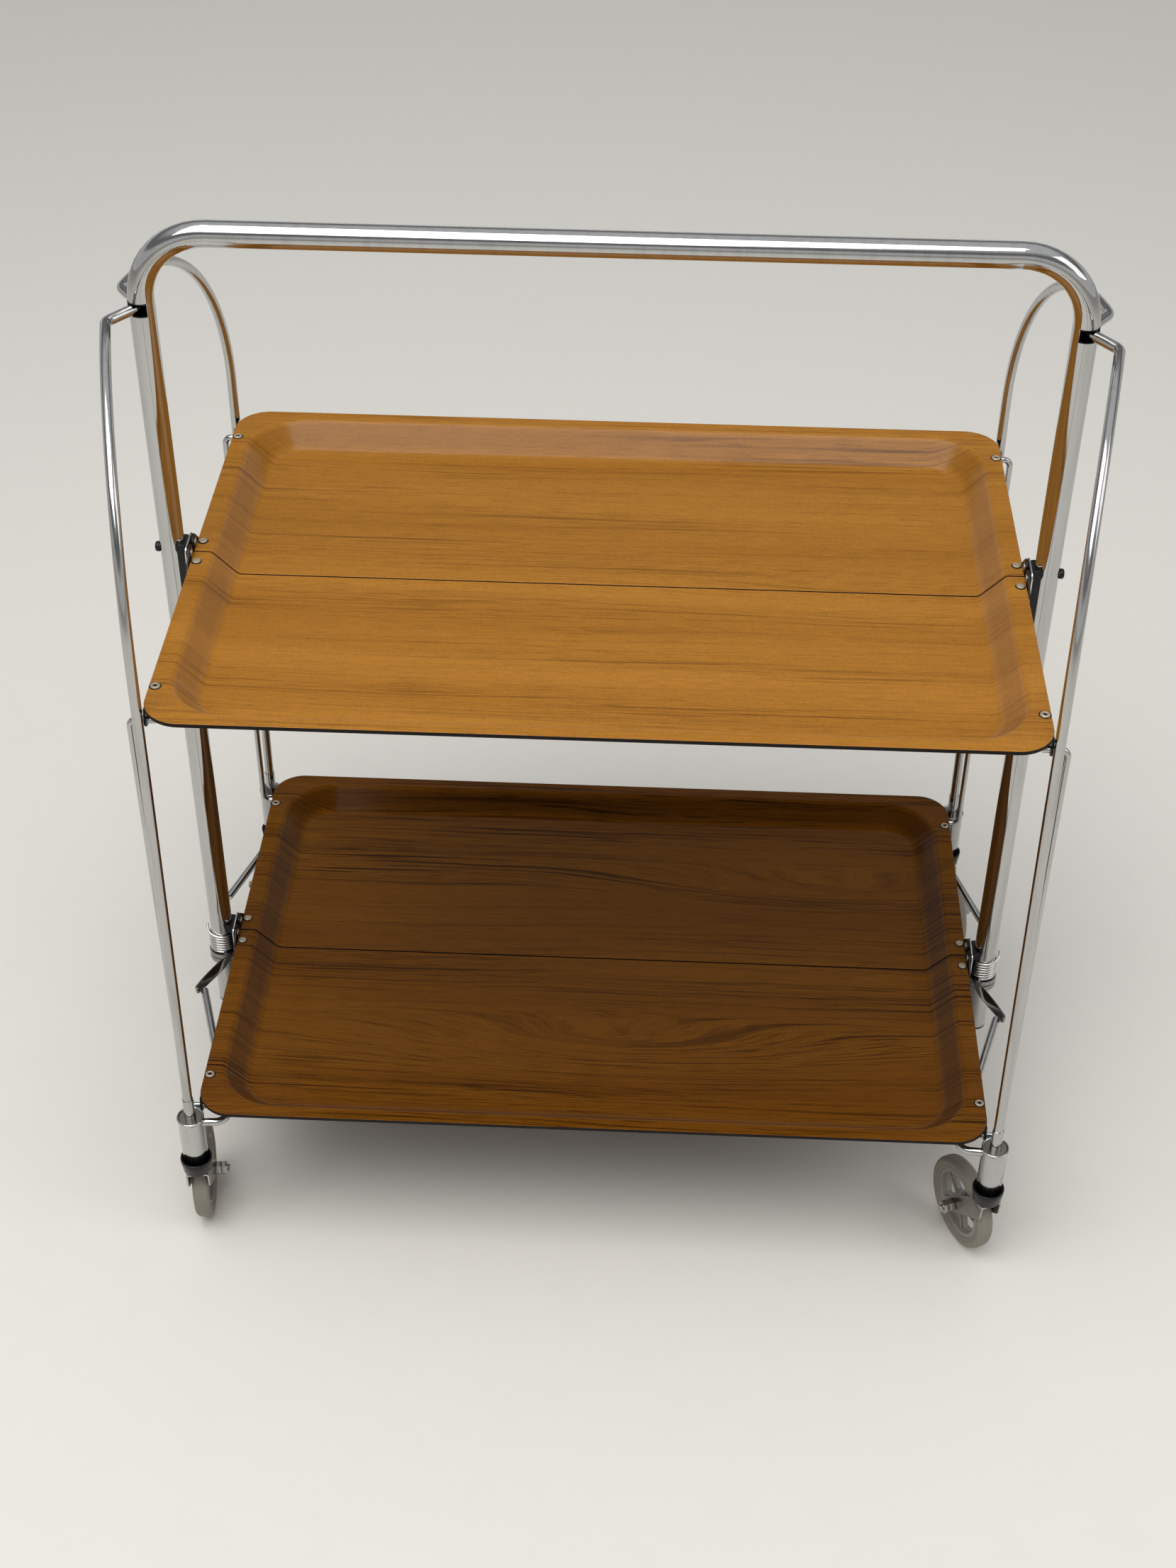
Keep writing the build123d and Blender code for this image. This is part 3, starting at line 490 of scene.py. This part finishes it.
def tray_row(inset, height, radius, end):
    """One open row of a tray half, from the seam round both corners to the seam."""
    half_x = HALF_LENGTH - inset[0]
    half_y = HALF_WIDTH - inset[1]
    row = []
    side_steps = 14
    front_steps = 30
    corner_steps = 14
    for i in range(side_steps):
        row.append((-half_x, SEAM_Y + (half_y - radius - SEAM_Y) * i / side_steps))
    for i in range(corner_steps):
        angle = math.pi - math.pi / 2 * i / corner_steps
        row.append((-half_x + radius + radius * math.cos(angle), half_y - radius + radius * math.sin(angle)))
    for i in range(front_steps + 1):
        row.append((-(half_x - radius) + 2 * (half_x - radius) * i / front_steps, half_y))
    for i in range(1, corner_steps + 1):
        angle = math.pi / 2 - math.pi / 2 * i / corner_steps
        row.append((half_x - radius + radius * math.cos(angle), half_y - radius + radius * math.sin(angle)))
    for i in range(1, side_steps + 1):
        row.append((half_x, half_y - radius + (SEAM_Y - half_y + radius) * i / side_steps))
    return [(x, end * y, height) for x, y in row]


def tray_profile(rim):
    """Rows from the outer edge to the floor: run past the recess edge, height."""
    slope = math.atan2(TRAY_DEPTH, SLOPE_RUN)
    floor = rim - TRAY_DEPTH
    steps = 6
    rows = []
    lead = RIM_BEND * math.tan(slope / 2)
    for i in range(steps + 1):
        a = slope * i / steps
        rows.append((-lead + RIM_BEND * math.sin(a), rim - RIM_BEND * (1 - math.cos(a))))
    lead = FLOOR_BEND * math.tan(slope / 2)
    for i in range(steps + 1):
        a = slope * (1 - i / steps)
        rows.append((SLOPE_RUN + lead - FLOOR_BEND * math.sin(a), floor + FLOOR_BEND * (1 - math.cos(a))))
    rows.append((SLOPE_RUN + lead + 4.0, floor))
    return rows


def build_tray(level, end_name):
    """A pressed tray half with its dark edge and backing."""
    rim = RIMS[level]
    end = ENDS[end_name]
    rows = [tray_row((inset, inset), rim, TRAY_CORNER + inset, end) for inset in (0.0, 4.0)]
    for run, height in tray_profile(rim):
        inset = [width + run for width in RECESS_INSET]
        rows.append(tray_row(inset, height, RECESS_CORNER - run, end))
    count = len(rows[0])
    faces = []
    for i in range(len(rows) - 1):
        for j in range(count - 1):
            a = i * count + j
            faces.append((a, a + 1, a + 1 + count, a + count))
    last = (len(rows) - 1) * count
    faces.append(tuple(range(last, last + count)))
    if end > 0:
        faces = [tuple(reversed(face)) for face in faces]
    name = f"{level}_{end_name}_tray_shell"
    data = bpy.data.meshes.new(name)
    data.from_pydata([Vector(p) * MM for row in rows for p in row], [], faces)
    data.shade_smooth()
    wood = UPPER_WOOD if level == "upper" else SHADED_LOWER_WOOD
    body = f"{level}_{end_name}_half"
    piece = new_object(name, data, body, [wood, BACKING, DARK_EDGE_AND_SHADE], [f"{level}_{end_name}_tray"])
    thick = piece.modifiers.new("thickness", "SOLIDIFY")
    thick.thickness = TRAY_THICKNESS * MM
    thick.offset = -1.0
    thick.use_even_offset = True
    thick.material_offset = 1
    thick.material_offset_rim = 2
    edges = piece.modifiers.new("edges", "BEVEL")
    edges.width = 0.55 * MM
    edges.segments = 2
    edges.limit_method = "ANGLE"
    edges.angle_limit = math.radians(60.0)
    edges.harden_normals = True


def build_rivets(level, end_name):
    """Domed hinge rivets and hollow corner rivets of a tray half, each on a dark ring of painted shadow, the
    hollow ones with a dark disc of painted shade in their holes.
    """
    solid = [(0, 1.2), (1.6, 1.18), (2.7, 1.08), (3.05, 0.92)]
    solid += [(3.2, 0.68), (3.12, 0.42), (2.6, 0.34), (2.5, -0.2)]
    hollow = [(1.5, -1.6), (1.5, 0.7), (1.75, 1.08), (2.2, 1.2), (2.8, 1.1), (3.3, 0.72), (3.5, 0.3)]
    hollow += [(3.35, 0.3), (2.9, 0.26), (2.8, -0.2)]
    shank = [(1.55, 0.0), (1.55, -4.7), (2.4, -4.75), (2.4, -5.5), (1.8, -5.9), (0, -5.9)]
    # A dark disc of painted shade in the hole of a hollow rivet.
    shade_disc = [(1.5, 0.25), (0.0, 0.2)]
    parts = []
    for side in SIDES.values():
        x = side * (HALF_LENGTH - RIVET_INSET)
        for y, shape, outer in ((HINGE_RIVET_Y, solid, 3.85), (CORNER_RIVET_Y, hollow, 4.25)):
            spot = Matrix.Translation((x, ENDS[end_name] * y, RIMS[level]))
            # Painted shadow: a thin dark ring round each head, for the shade of the gap under it.
            shadow_ring = [(2.8, 0.03), (outer, 0.03), (outer + 0.05, 0.1), (outer - 0.05, 0.17), (2.8, 0.2)]
            parts.append((*lathe(shape, 40), spot, 0))
            parts.append((*lathe(shank, 24), spot, 0))
            parts.append((*lathe(shadow_ring, 40, closed=True), spot, 1))
            if shape is hollow:
                parts.append((*lathe(shade_disc, 24), spot, 1))
    name = f"{level}_{end_name}_rivet"
    new_piece(name + "_heads", parts, f"{level}_{end_name}_half", [RIVET, DARK_EDGE_AND_SHADE], [name + "s"], 50.0)


def ear(side, end, rim, pin, radius, root, bore, x):
    """Upright ear of a bracket round its pin. The root is its two ends along Y at the tab."""
    wing = side * end
    under = rim - TAB_UNDER_RIM
    outline = ring(wing * pin[0], rim + pin[1], radius)
    outline += [(wing * u, v) for u in root for v in (under, under + SHEET_THICKNESS)]
    hole = ring(wing * pin[0], rim + pin[1], bore, 24)
    return (*plate([hull(outline), hole], 1.6, 0.28), outboard(side, x), 0)


def tab(rim, x, y, length, corner):
    """Flat tab of a bracket under the rim of a tray half."""
    outline = rounded_box(x, y, 8.6, length, corner)
    return (*plate([outline], SHEET_THICKNESS, 0.3), Matrix.Translation((0, 0, rim - TAB_UNDER_RIM)), 0)


def build_brackets(level, end_name):
    """Bent steel ears of the hinges and corners of a tray half."""
    rim = RIMS[level]
    end = ENDS[end_name]
    hinge_bore = HINGE_PIN_RADIUS + BORE_PLAY
    link_bore = LINK_RADIUS + (BORE_PLAY if level == "upper" else OPENED_PIVOT_PLAY)
    hinge = []
    corner = []
    for side in SIDES.values():
        hinge.append(ear(side, end, rim, HINGE_PIN, 6.0, (4.0, 23.0), hinge_bore, 300.4))
        hinge.append(tab(rim, side * 297.7, end * HINGE_RIVET_Y, 19.0, 1.4))
        corner.append(ear(side, end, rim, CORNER_PIN, 4.5, (174.75, 188.25), link_bore, 298.4))
        corner.append(tab(rim, side * 295.7, end * 174.0, 32.0, 1.6))
    half = f"{level}_{end_name}"
    new_piece(half + "_hinge_ears", hinge, half + "_half", [DARK_STEEL], [half + "_hinge_brackets"])
    new_piece(half + "_corner_ears", corner, half + "_half", [DARK_STEEL], [half + "_corner_brackets"])


def build_hinges():
    """Hinge plates, blocks, pins and cross bolt caps on the tube."""
    drops = {"upper": 38.0, "lower": 17.0}
    blocks = {"upper": (472.0, 521.5), "lower": (142.5, 150.5)}
    plate_top = 9.5
    half_block = 7.8
    pin_y, pin_over_rim = HINGE_PIN
    head = [(0, -0.9), (1.2, -0.86), (2.3, -0.62), (2.8, -0.3), (2.9, -0.02), (2.9, 0.0)]
    head += [(2.0, 0.0), (2.0, 4.2), (0, 4.2)]
    cap = [(2.2, 0), (3.5, 0), (3.8, 0.4), (3.8, 2.2), (3.5, 3.0), (2.7, 3.5)]
    cap += [(1.4, 3.6), (1.1, 3.3), (0, 3.25)]
    reach = math.degrees(math.asin(half_block / TUBE_BORE))
    wrap = [(303.7, 1.0 - half_block), (304.7, -half_block), (308.6, -half_block)]
    wrap += arc(TUBE_X, 0, TUBE_BORE, 180 + reach, 180 - reach, 20)
    wrap += [(308.6, half_block), (304.7, half_block), (303.7, half_block - 1.0)]
    pins = []
    caps = []
    for level, rim in RIMS.items():
        drop = drops[level]
        bottom, top = blocks[level]
        pin_height = rim + pin_over_rim
        cheek_parts = []
        block_parts = []
        for side in SIDES.values():
            outline = rounded_box(0, rim + (plate_top - drop) / 2, 26.0, plate_top + drop, 4.0)
            holes = [ring(end * pin_y, pin_height, HINGE_PIN_RADIUS + 0.05, 24) for end in (-1, 1)]
            cheek_parts.append((*plate([outline, *holes], 1.3, 0.3), outboard(side, 302.4), 0))
            moulding = plate([[(side * x, y) for x, y in wrap]], top - bottom, 0.4)
            block_parts.append((*moulding, Matrix.Translation((0, 0, bottom)), 0))
            for end in (-1, 1):
                pins.append((*lathe(head, 28), outboard(side, HALF_LENGTH, end * pin_y, pin_height), 0))
            if level == "upper":
                caps.append((*lathe(cap, 32), outboard(side, TUBE_X + TUBE_RADIUS, 0, pin_height), 0))
        name = f"{level}_hinge_"
        # The plates' edges get the bright spring steel as a painted highlight.
        finishes = [DARK_STEEL, SPRING_AND_EDGE_HIGHLIGHT]
        cheeks = new_piece(name + "cheeks", cheek_parts, "frame", finishes, [name + "plates"])
        mark_edges(cheeks, Vector((1, 0, 0)))
        new_piece(name + "mouldings", block_parts, "frame", [BLACK], [name + "blocks"])
    new_piece("hinge_pin_heads", pins, "frame", [ZINC], ["hinge_pins"], 60.0)
    new_piece("bolt_cover_caps", caps, "frame", [BLACK], ["bolt_caps"], 50.0)


def build_feet():
    """Sleeves with their rolled lips, and the cups below them."""
    sleeve = [(8.6, 83.0), (9.5, 83.0), (9.8, 83.4), (9.8, 126.6), (9.95, 127.4), (10.35, 128.0)]
    sleeve += [(10.5, 128.7), (10.4, 129.5), (9.95, 130.0), (9.3, 129.9), (8.8, 129.4), (8.6, 128.6)]
    cup = [(4.2, 72.0), (9.6, 72.0), (10.6, 72.35), (11.0, 73.1), (11.1, 77.4), (11.25, 77.9)]
    cup += [(11.6, 78.2), (11.75, 78.8), (12.05, 81.8), (12.2, 83.8), (12.0, 84.8), (11.4, 85.0)]
    cup += [(10.6, 84.6), (9.86, 83.6)]
    sleeves = []
    cups = []
    for side in SIDES.values():
        for end in ENDS.values():
            spot = Matrix.Translation((side * LEG[0], end * LEG[1], 0))
            sleeves.append((*lathe(sleeve, 64, closed=True), spot, 0))
            cups.append((*lathe(cup, 64), spot, 0))
    new_piece("foot_sleeves", sleeves, "frame", [CHROME], ["leg_sleeves"], 60.0)
    new_piece("foot_cups", cups, "frame", [BLACK], ["caster_cups"], 40.0)


def smooth_share(rows, place, column):
    """Value of a column at a place along the rows, on a smooth curve through them."""

    def slope(i):
        first, second = rows[max(i - 1, 0)], rows[min(i + 1, len(rows) - 1)]
        return (second[column] - first[column]) / (second[0] - first[0])

    for i, (first, second) in enumerate(zip(rows, rows[1:])):
        if place <= second[0]:
            span = second[0] - first[0]
            rise = second[column] - first[column]
            t = (place - first[0]) / span
            bend = (1 - t) * (slope(i) * span - rise) + t * (rise - slope(i + 1) * span)
            return first[column] + t * rise + t * (1 - t) * bend
    return rows[-1][column]


def twisted_bar(side, end, bottom):
    """Points and faces of a flat lever that turns over on its way from a hub to a brace."""
    # Place along the lever, share of its rise and share of its lean there.
    shares = ((0, 0, 0), (0.15, 0, 0.1), (0.3, 0.25, 0.6), (0.5, 0.5, 1), (0.75, 0.8, 0.7), (1, 1, 0.2))
    most_lean = 34.0
    root_radius = 10.5
    stations = 41
    angle = math.radians(LEVER_ANGLE)
    root_x = TUBE_X - root_radius * math.sin(angle)
    root = Vector((side * root_x, end * root_radius * math.cos(angle), bottom + 2.4))
    heading = Vector((side * math.cos(angle), end * math.sin(angle), 0))
    away = Vector((side * math.sin(angle), -end * math.cos(angle), 0))
    points = []
    for i in range(stations):
        place = i / (stations - 1)
        centre = root + heading * LEVER_LENGTH * place
        centre.z += (LEVER_TIP_HEIGHT - root.z) * smooth_share(shares, place, 1)
        lean = math.radians(most_lean * smooth_share(shares, place, 2))
        broad = Vector((0, 0, 1)) * math.cos(lean) + away * math.sin(lean)
        thin = heading.cross(broad)
        width = 4.6 + 3.4 * min(1.0, max(0.0, (place - 0.15) / 0.15))
        if i == stations - 1:
            width -= 1.2
        section = rounded_box(0, 0, width, 1.7, 0.6, 3)
        points += [centre + broad * u + thin * v for u, v in section]
    count = len(section)
    faces = []
    for here in range(0, len(points) - count, count):
        for k in range(count):
            after = (k + 1) % count
            faces.append((here + k, here + after, here + count + after, here + count + k))
    faces.append(tuple(range(count)))
    faces.append(tuple(range(len(points) - count, len(points))))
    return points, faces


def build_levers():
    """Hub rings with their twisted flat levers."""
    hub = [(TUBE_BORE, 0.3), (9.3, 0), (11.6, 0), (12.0, 0.5)]
    hub += [(12.0, 4.3), (11.6, 4.8), (9.3, 4.8), (TUBE_BORE, 4.5)]
    parts = []
    for side in SIDES.values():
        for end_name, end in ENDS.items():
            bottom = HUB_HEIGHTS[end_name]
            parts.append((*lathe(hub, 56, closed=True), Matrix.Translation((side * TUBE_X, 0, bottom)), 0))
            parts.append((*twisted_bar(side, end, bottom), Matrix.Identity(4), 0))
    new_piece("twisted_levers", parts, "frame", [DARKENED_LEVER_CHROME], ["hub_levers"], 50.0)


def caster_space(side_name, end_name):
    """Place on the floor under a caster's stem, with X pointing to its wheel."""
    turn = math.radians(CASTER_ANGLES[side_name, end_name])
    origin = (SIDES[side_name] * LEG[0], ENDS[end_name] * LEG[1], 0)
    return space(origin, (math.cos(turn), math.sin(turn), 0), (-math.sin(turn), math.cos(turn), 0))


def axle_space(base, offset, inward):
    """Place on the axle whose Z points inboard along it."""
    spot = space((TRAIL, offset * inward, WHEEL_RADIUS), (1, 0, 0), (0, 0, -inward))
    return base @ spot


def build_fork(corner, base):
    """Pressed fork of a caster with its stem and washer."""
    parts = []
    cheek = hull(ring(TRAIL, WHEEL_RADIUS, 7.0) + ring(0, 61.0, 7.5) + [(-8.0, 68.5), (8.0, 68.5)])
    hole = ring(TRAIL, WHEEL_RADIUS, 3.05, 24)
    for y in (FORK_HALF_WIDTH, SHEET_THICKNESS - FORK_HALF_WIDTH):
        upright = base @ space((0, y, 0), (1, 0, 0), (0, 0, 1))
        parts.append((*plate([cheek, hole], SHEET_THICKNESS, 0.35), upright, 0))
    bridge = arc(-6.6, 69.1, 2.4, 180, 90, 5) + arc(6.6, 69.1, 2.4, 90, 0, 5)
    bridge += [(9.0, 66.5), (7.5, 66.5)] + arc(6.6, 69.1, 0.9, 0, 90, 4) + arc(-6.6, 69.1, 0.9, 90, 180, 4)
    bridge += [(-7.5, 66.5), (-9.0, 66.5)]
    across = base @ space((-8.0, 0, 0), (0, 1, 0), (0, 0, 1))
    parts.append((*plate([bridge], 16.0, 0.3), across, 0))
    stem = [(4.0, 70.5), (4.0, 103.2), (3.2, 104.0), (0, 104.0)]
    washer = [(4.0, 71.5), (8.4, 71.5), (8.6, 71.65), (8.6, 71.85), (8.4, 72.0), (4.0, 72.0)]
    parts.append((*lathe(stem, 32), base, 0))
    parts.append((*lathe(washer, 40), base, 0))
    # The fork is zinc all over; its faces get the darker copy as painted shade, so its edges stand out
    # bright.
    finishes = [SHADED_ZINC, ZINC]
    fork = new_piece(corner + "_pressed_fork", parts, corner + "_caster", finishes, [corner + "_caster_fork"])
    mark_edges(fork, base.to_3x3() @ Vector((0, 1, 0)))


def build_axle(corner, base, inward):
    """Axle bolt of a caster with its threaded end, domed head and two nuts."""
    bolt_end = 18.6
    pitch = 0.35
    bolt = [(0, -FORK_HALF_WIDTH), (3.0, -FORK_HALF_WIDTH), (3.0, bolt_end)]
    for i in range(5):
        bolt += [(3.0, bolt_end + i * pitch), (2.7, bolt_end + 0.18 + i * pitch)]
    bolt += [(2.5, 20.6), (0, 20.7)]
    dome = [(0, -3.2), (2.2, -3.2), (3.6, -2.9), (4.5, -2.3)]
    hexagon = ring(0, 0, 5.5, 6)
    head_height = 2.6
    nut_height = 4.6
    parts = [
        (*lathe(bolt, 32), axle_space(base, 0, inward), 0),
        (*plate([hexagon], head_height, 0.45), axle_space(base, -FORK_HALF_WIDTH - head_height, inward), 0),
        (*lathe(dome, 32), axle_space(base, -FORK_HALF_WIDTH, inward), 0),
    ]
    for offset in (FORK_HALF_WIDTH, FORK_HALF_WIDTH + nut_height + 0.05):
        parts.append((*plate([hexagon], nut_height, 0.6), axle_space(base, offset, inward), 0))
    new_piece(corner + "_axle_bolt", parts, corner + "_caster", [ZINC], [corner + "_caster_axle"])


def build_wheel(corner, base):
    """Spoked wheel centre and tyre of a caster."""
    rim = [(28.5, -5.0), (28.0, -5.2), (25.6, -5.2), (25.1, -4.8), (24.6, -2.4), (24.2, -1.7)]
    rim += [(r, -h) for r, h in reversed(rim)]
    boss = [(3.06, -7.1), (5.4, -7.1), (6.0, -6.8), (6.4, -5.6), (7.4, -2.6), (8.2, -1.6)]
    boss += [(r, -h) for r, h in reversed(boss)]
    step = 360 / SPOKES
    windows = []
    for k in range(SPOKES):
        inner = arc(0, 0, 10.4, step * k - 20, step * k + 20, 6)
        outer = arc(0, 0, 22.4, step * k + 25, step * k - 25, 10)
        windows.append(round_corners(inner + outer, 2.4))
    axis = axle_space(base, 0, 1)
    web = plate([ring(0, 0, 25.0, 72), ring(0, 0, 6.0, 40), *windows], 3.2, 0.5)
    parts = [(*lathe(rim, 72, closed=True), axis, 0), (*lathe(boss, 48, closed=True), axis, 0)]
    parts.append((*web, axis @ Matrix.Translation((0, 0, -1.6)), 0))
    for k in range(SPOKES):
        spoke = axis @ Matrix.Rotation(math.radians(step * (k + 0.5)), 4, "Z")
        for low in (-3.3, 1.4):
            rib = plate([rounded_box(16.0, 0, 18.6, 1.8, 0.6, 3)], 1.9, 0.35)
            parts.append((*rib, spoke @ Matrix.Translation((0, 0, low)), 0))
    body = corner + "_wheel"
    new_piece(body + "_spider", parts, body, [WHEEL], [body + "_centre"])
    tyre = [(28.5, -4.9), (28.9, -5.6), (30.2, -6.2), (31.0, -6.2), (31.3, -5.9), (31.6, -6.25), (33.4, -6.5)]
    tyre += [(34.9, -6.25), (36.1, -5.5), (36.95, -4.4), (37.4, -3.0), (WHEEL_RADIUS, -1.4)]
    tyre += [(r, -h) for r, h in reversed(tyre)]
    parts = [(*lathe(tyre, 96, closed=True), axis, 0)]
    new_piece(corner + "_rubber_tyre", parts, body, [RUBBER], [corner + "_tyre"], 60.0)


def build_caster(side_name, end_name):
    """Fork, axle, wheel centre and tyre of a caster."""
    corner = f"{end_name}_{side_name}"
    base = caster_space(side_name, end_name)
    build_fork(corner, base)
    build_axle(corner, base, SIDES[side_name])
    build_wheel(corner, base)


def add_lamp(name, place, target, size, power):
    """A soft square lamp aimed at a target, which the camera doesn't see."""
    lamp = bpy.data.lights.new(name, "AREA")
    lamp.size = size
    lamp.energy = power
    holder = bpy.data.objects.new(name, lamp)
    bpy.context.scene.collection.objects.link(holder)
    holder.location = place
    holder.rotation_euler = (Vector(target) - Vector(place)).to_track_quat("-Z", "Y").to_euler()
    holder.visible_camera = False


def build_stage():
    """Floor, lamps and the pale surroundings."""
    reach = 14.0
    corners = [(-reach, -reach, 0), (reach, -reach, 0), (reach, reach, 0), (-reach, reach, 0)]
    data = bpy.data.meshes.new("floor")
    data.from_pydata(corners, [], [(0, 1, 2, 3)])
    floor = bpy.data.objects.new("floor", data)
    bpy.context.scene.collection.objects.link(floor)
    data.materials.append(plain_finish("floor_paint", "#dfdcd4", "#d9d6ce", 0.75, 300.0, 0.0001, wear=0.3))
    world = bpy.data.worlds.new("studio")
    bpy.context.scene.world = world
    world.use_nodes = True
    tree = world.node_tree
    back = tree.nodes["Background"]
    coords = tree.nodes.new("ShaderNodeTexCoord")
    split = tree.nodes.new("ShaderNodeSeparateXYZ")
    tree.links.new(coords.outputs["Generated"], split.inputs[0])
    ramp = tree.nodes.new("ShaderNodeValToRGB")
    tree.links.new(split.outputs[2], ramp.inputs[0])
    stops = ramp.color_ramp.elements
    for place, level in ((0.22, 0.84), (0.34, 0.3), (0.5, 0.28), (0.6, 0.45)):
        stops.new(place).color = (level, level, level * 1.03, 1)
    stops[0].color = (0.86, 0.855, 0.84, 1)
    stops[-1].position = 0.78
    stops[-1].color = (0.95, 0.96, 0.98, 1)
    tree.links.new(ramp.outputs[0], back.inputs[0])
    back.inputs[1].default_value = 0.7
    add_lamp("key", (-0.5, -1.0, 2.9), (0, 0, 0.4), 2.4, 68.0)
    add_lamp("side", (2.2, -0.6, 1.9), (0, 0, 0.3), 1.4, 10.0)


def build_camera():
    """The photograph's camera."""
    yaw, pitch, roll = CAMERA_TURN
    right = Vector((math.cos(yaw), -math.sin(yaw), 0))
    ahead = Vector((math.sin(yaw) * math.cos(pitch), math.cos(yaw) * math.cos(pitch), math.sin(pitch)))
    up = right.cross(ahead)
    turned_right = right * math.cos(roll) + up * math.sin(roll)
    turned_up = up * math.cos(roll) - right * math.sin(roll)
    data = bpy.data.cameras.new("camera")
    data.sensor_fit = "AUTO"
    data.sensor_width = SENSOR
    data.lens = FOCAL_LENGTH / PHOTO_HEIGHT * SENSOR
    camera = bpy.data.objects.new("camera", data)
    bpy.context.scene.collection.objects.link(camera)
    turn = Matrix((turned_right, turned_up, -ahead)).transposed()
    camera.matrix_world = Matrix.Translation(CAMERA_PLACE) @ turn.to_4x4()
    bpy.context.scene.camera = camera


for node_name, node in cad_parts.items():
    paint(node_name, node)
for level_name in RIMS:
    for end_key in ENDS:
        build_tray(level_name, end_key)
        build_rivets(level_name, end_key)
        build_brackets(level_name, end_key)
build_hinges()
build_feet()
build_levers()
for side_key in SIDES:
    for end_key in ENDS:
        build_caster(side_key, end_key)
build_stage()
build_camera()
bpy.context.scene.view_settings.view_transform = "Standard"
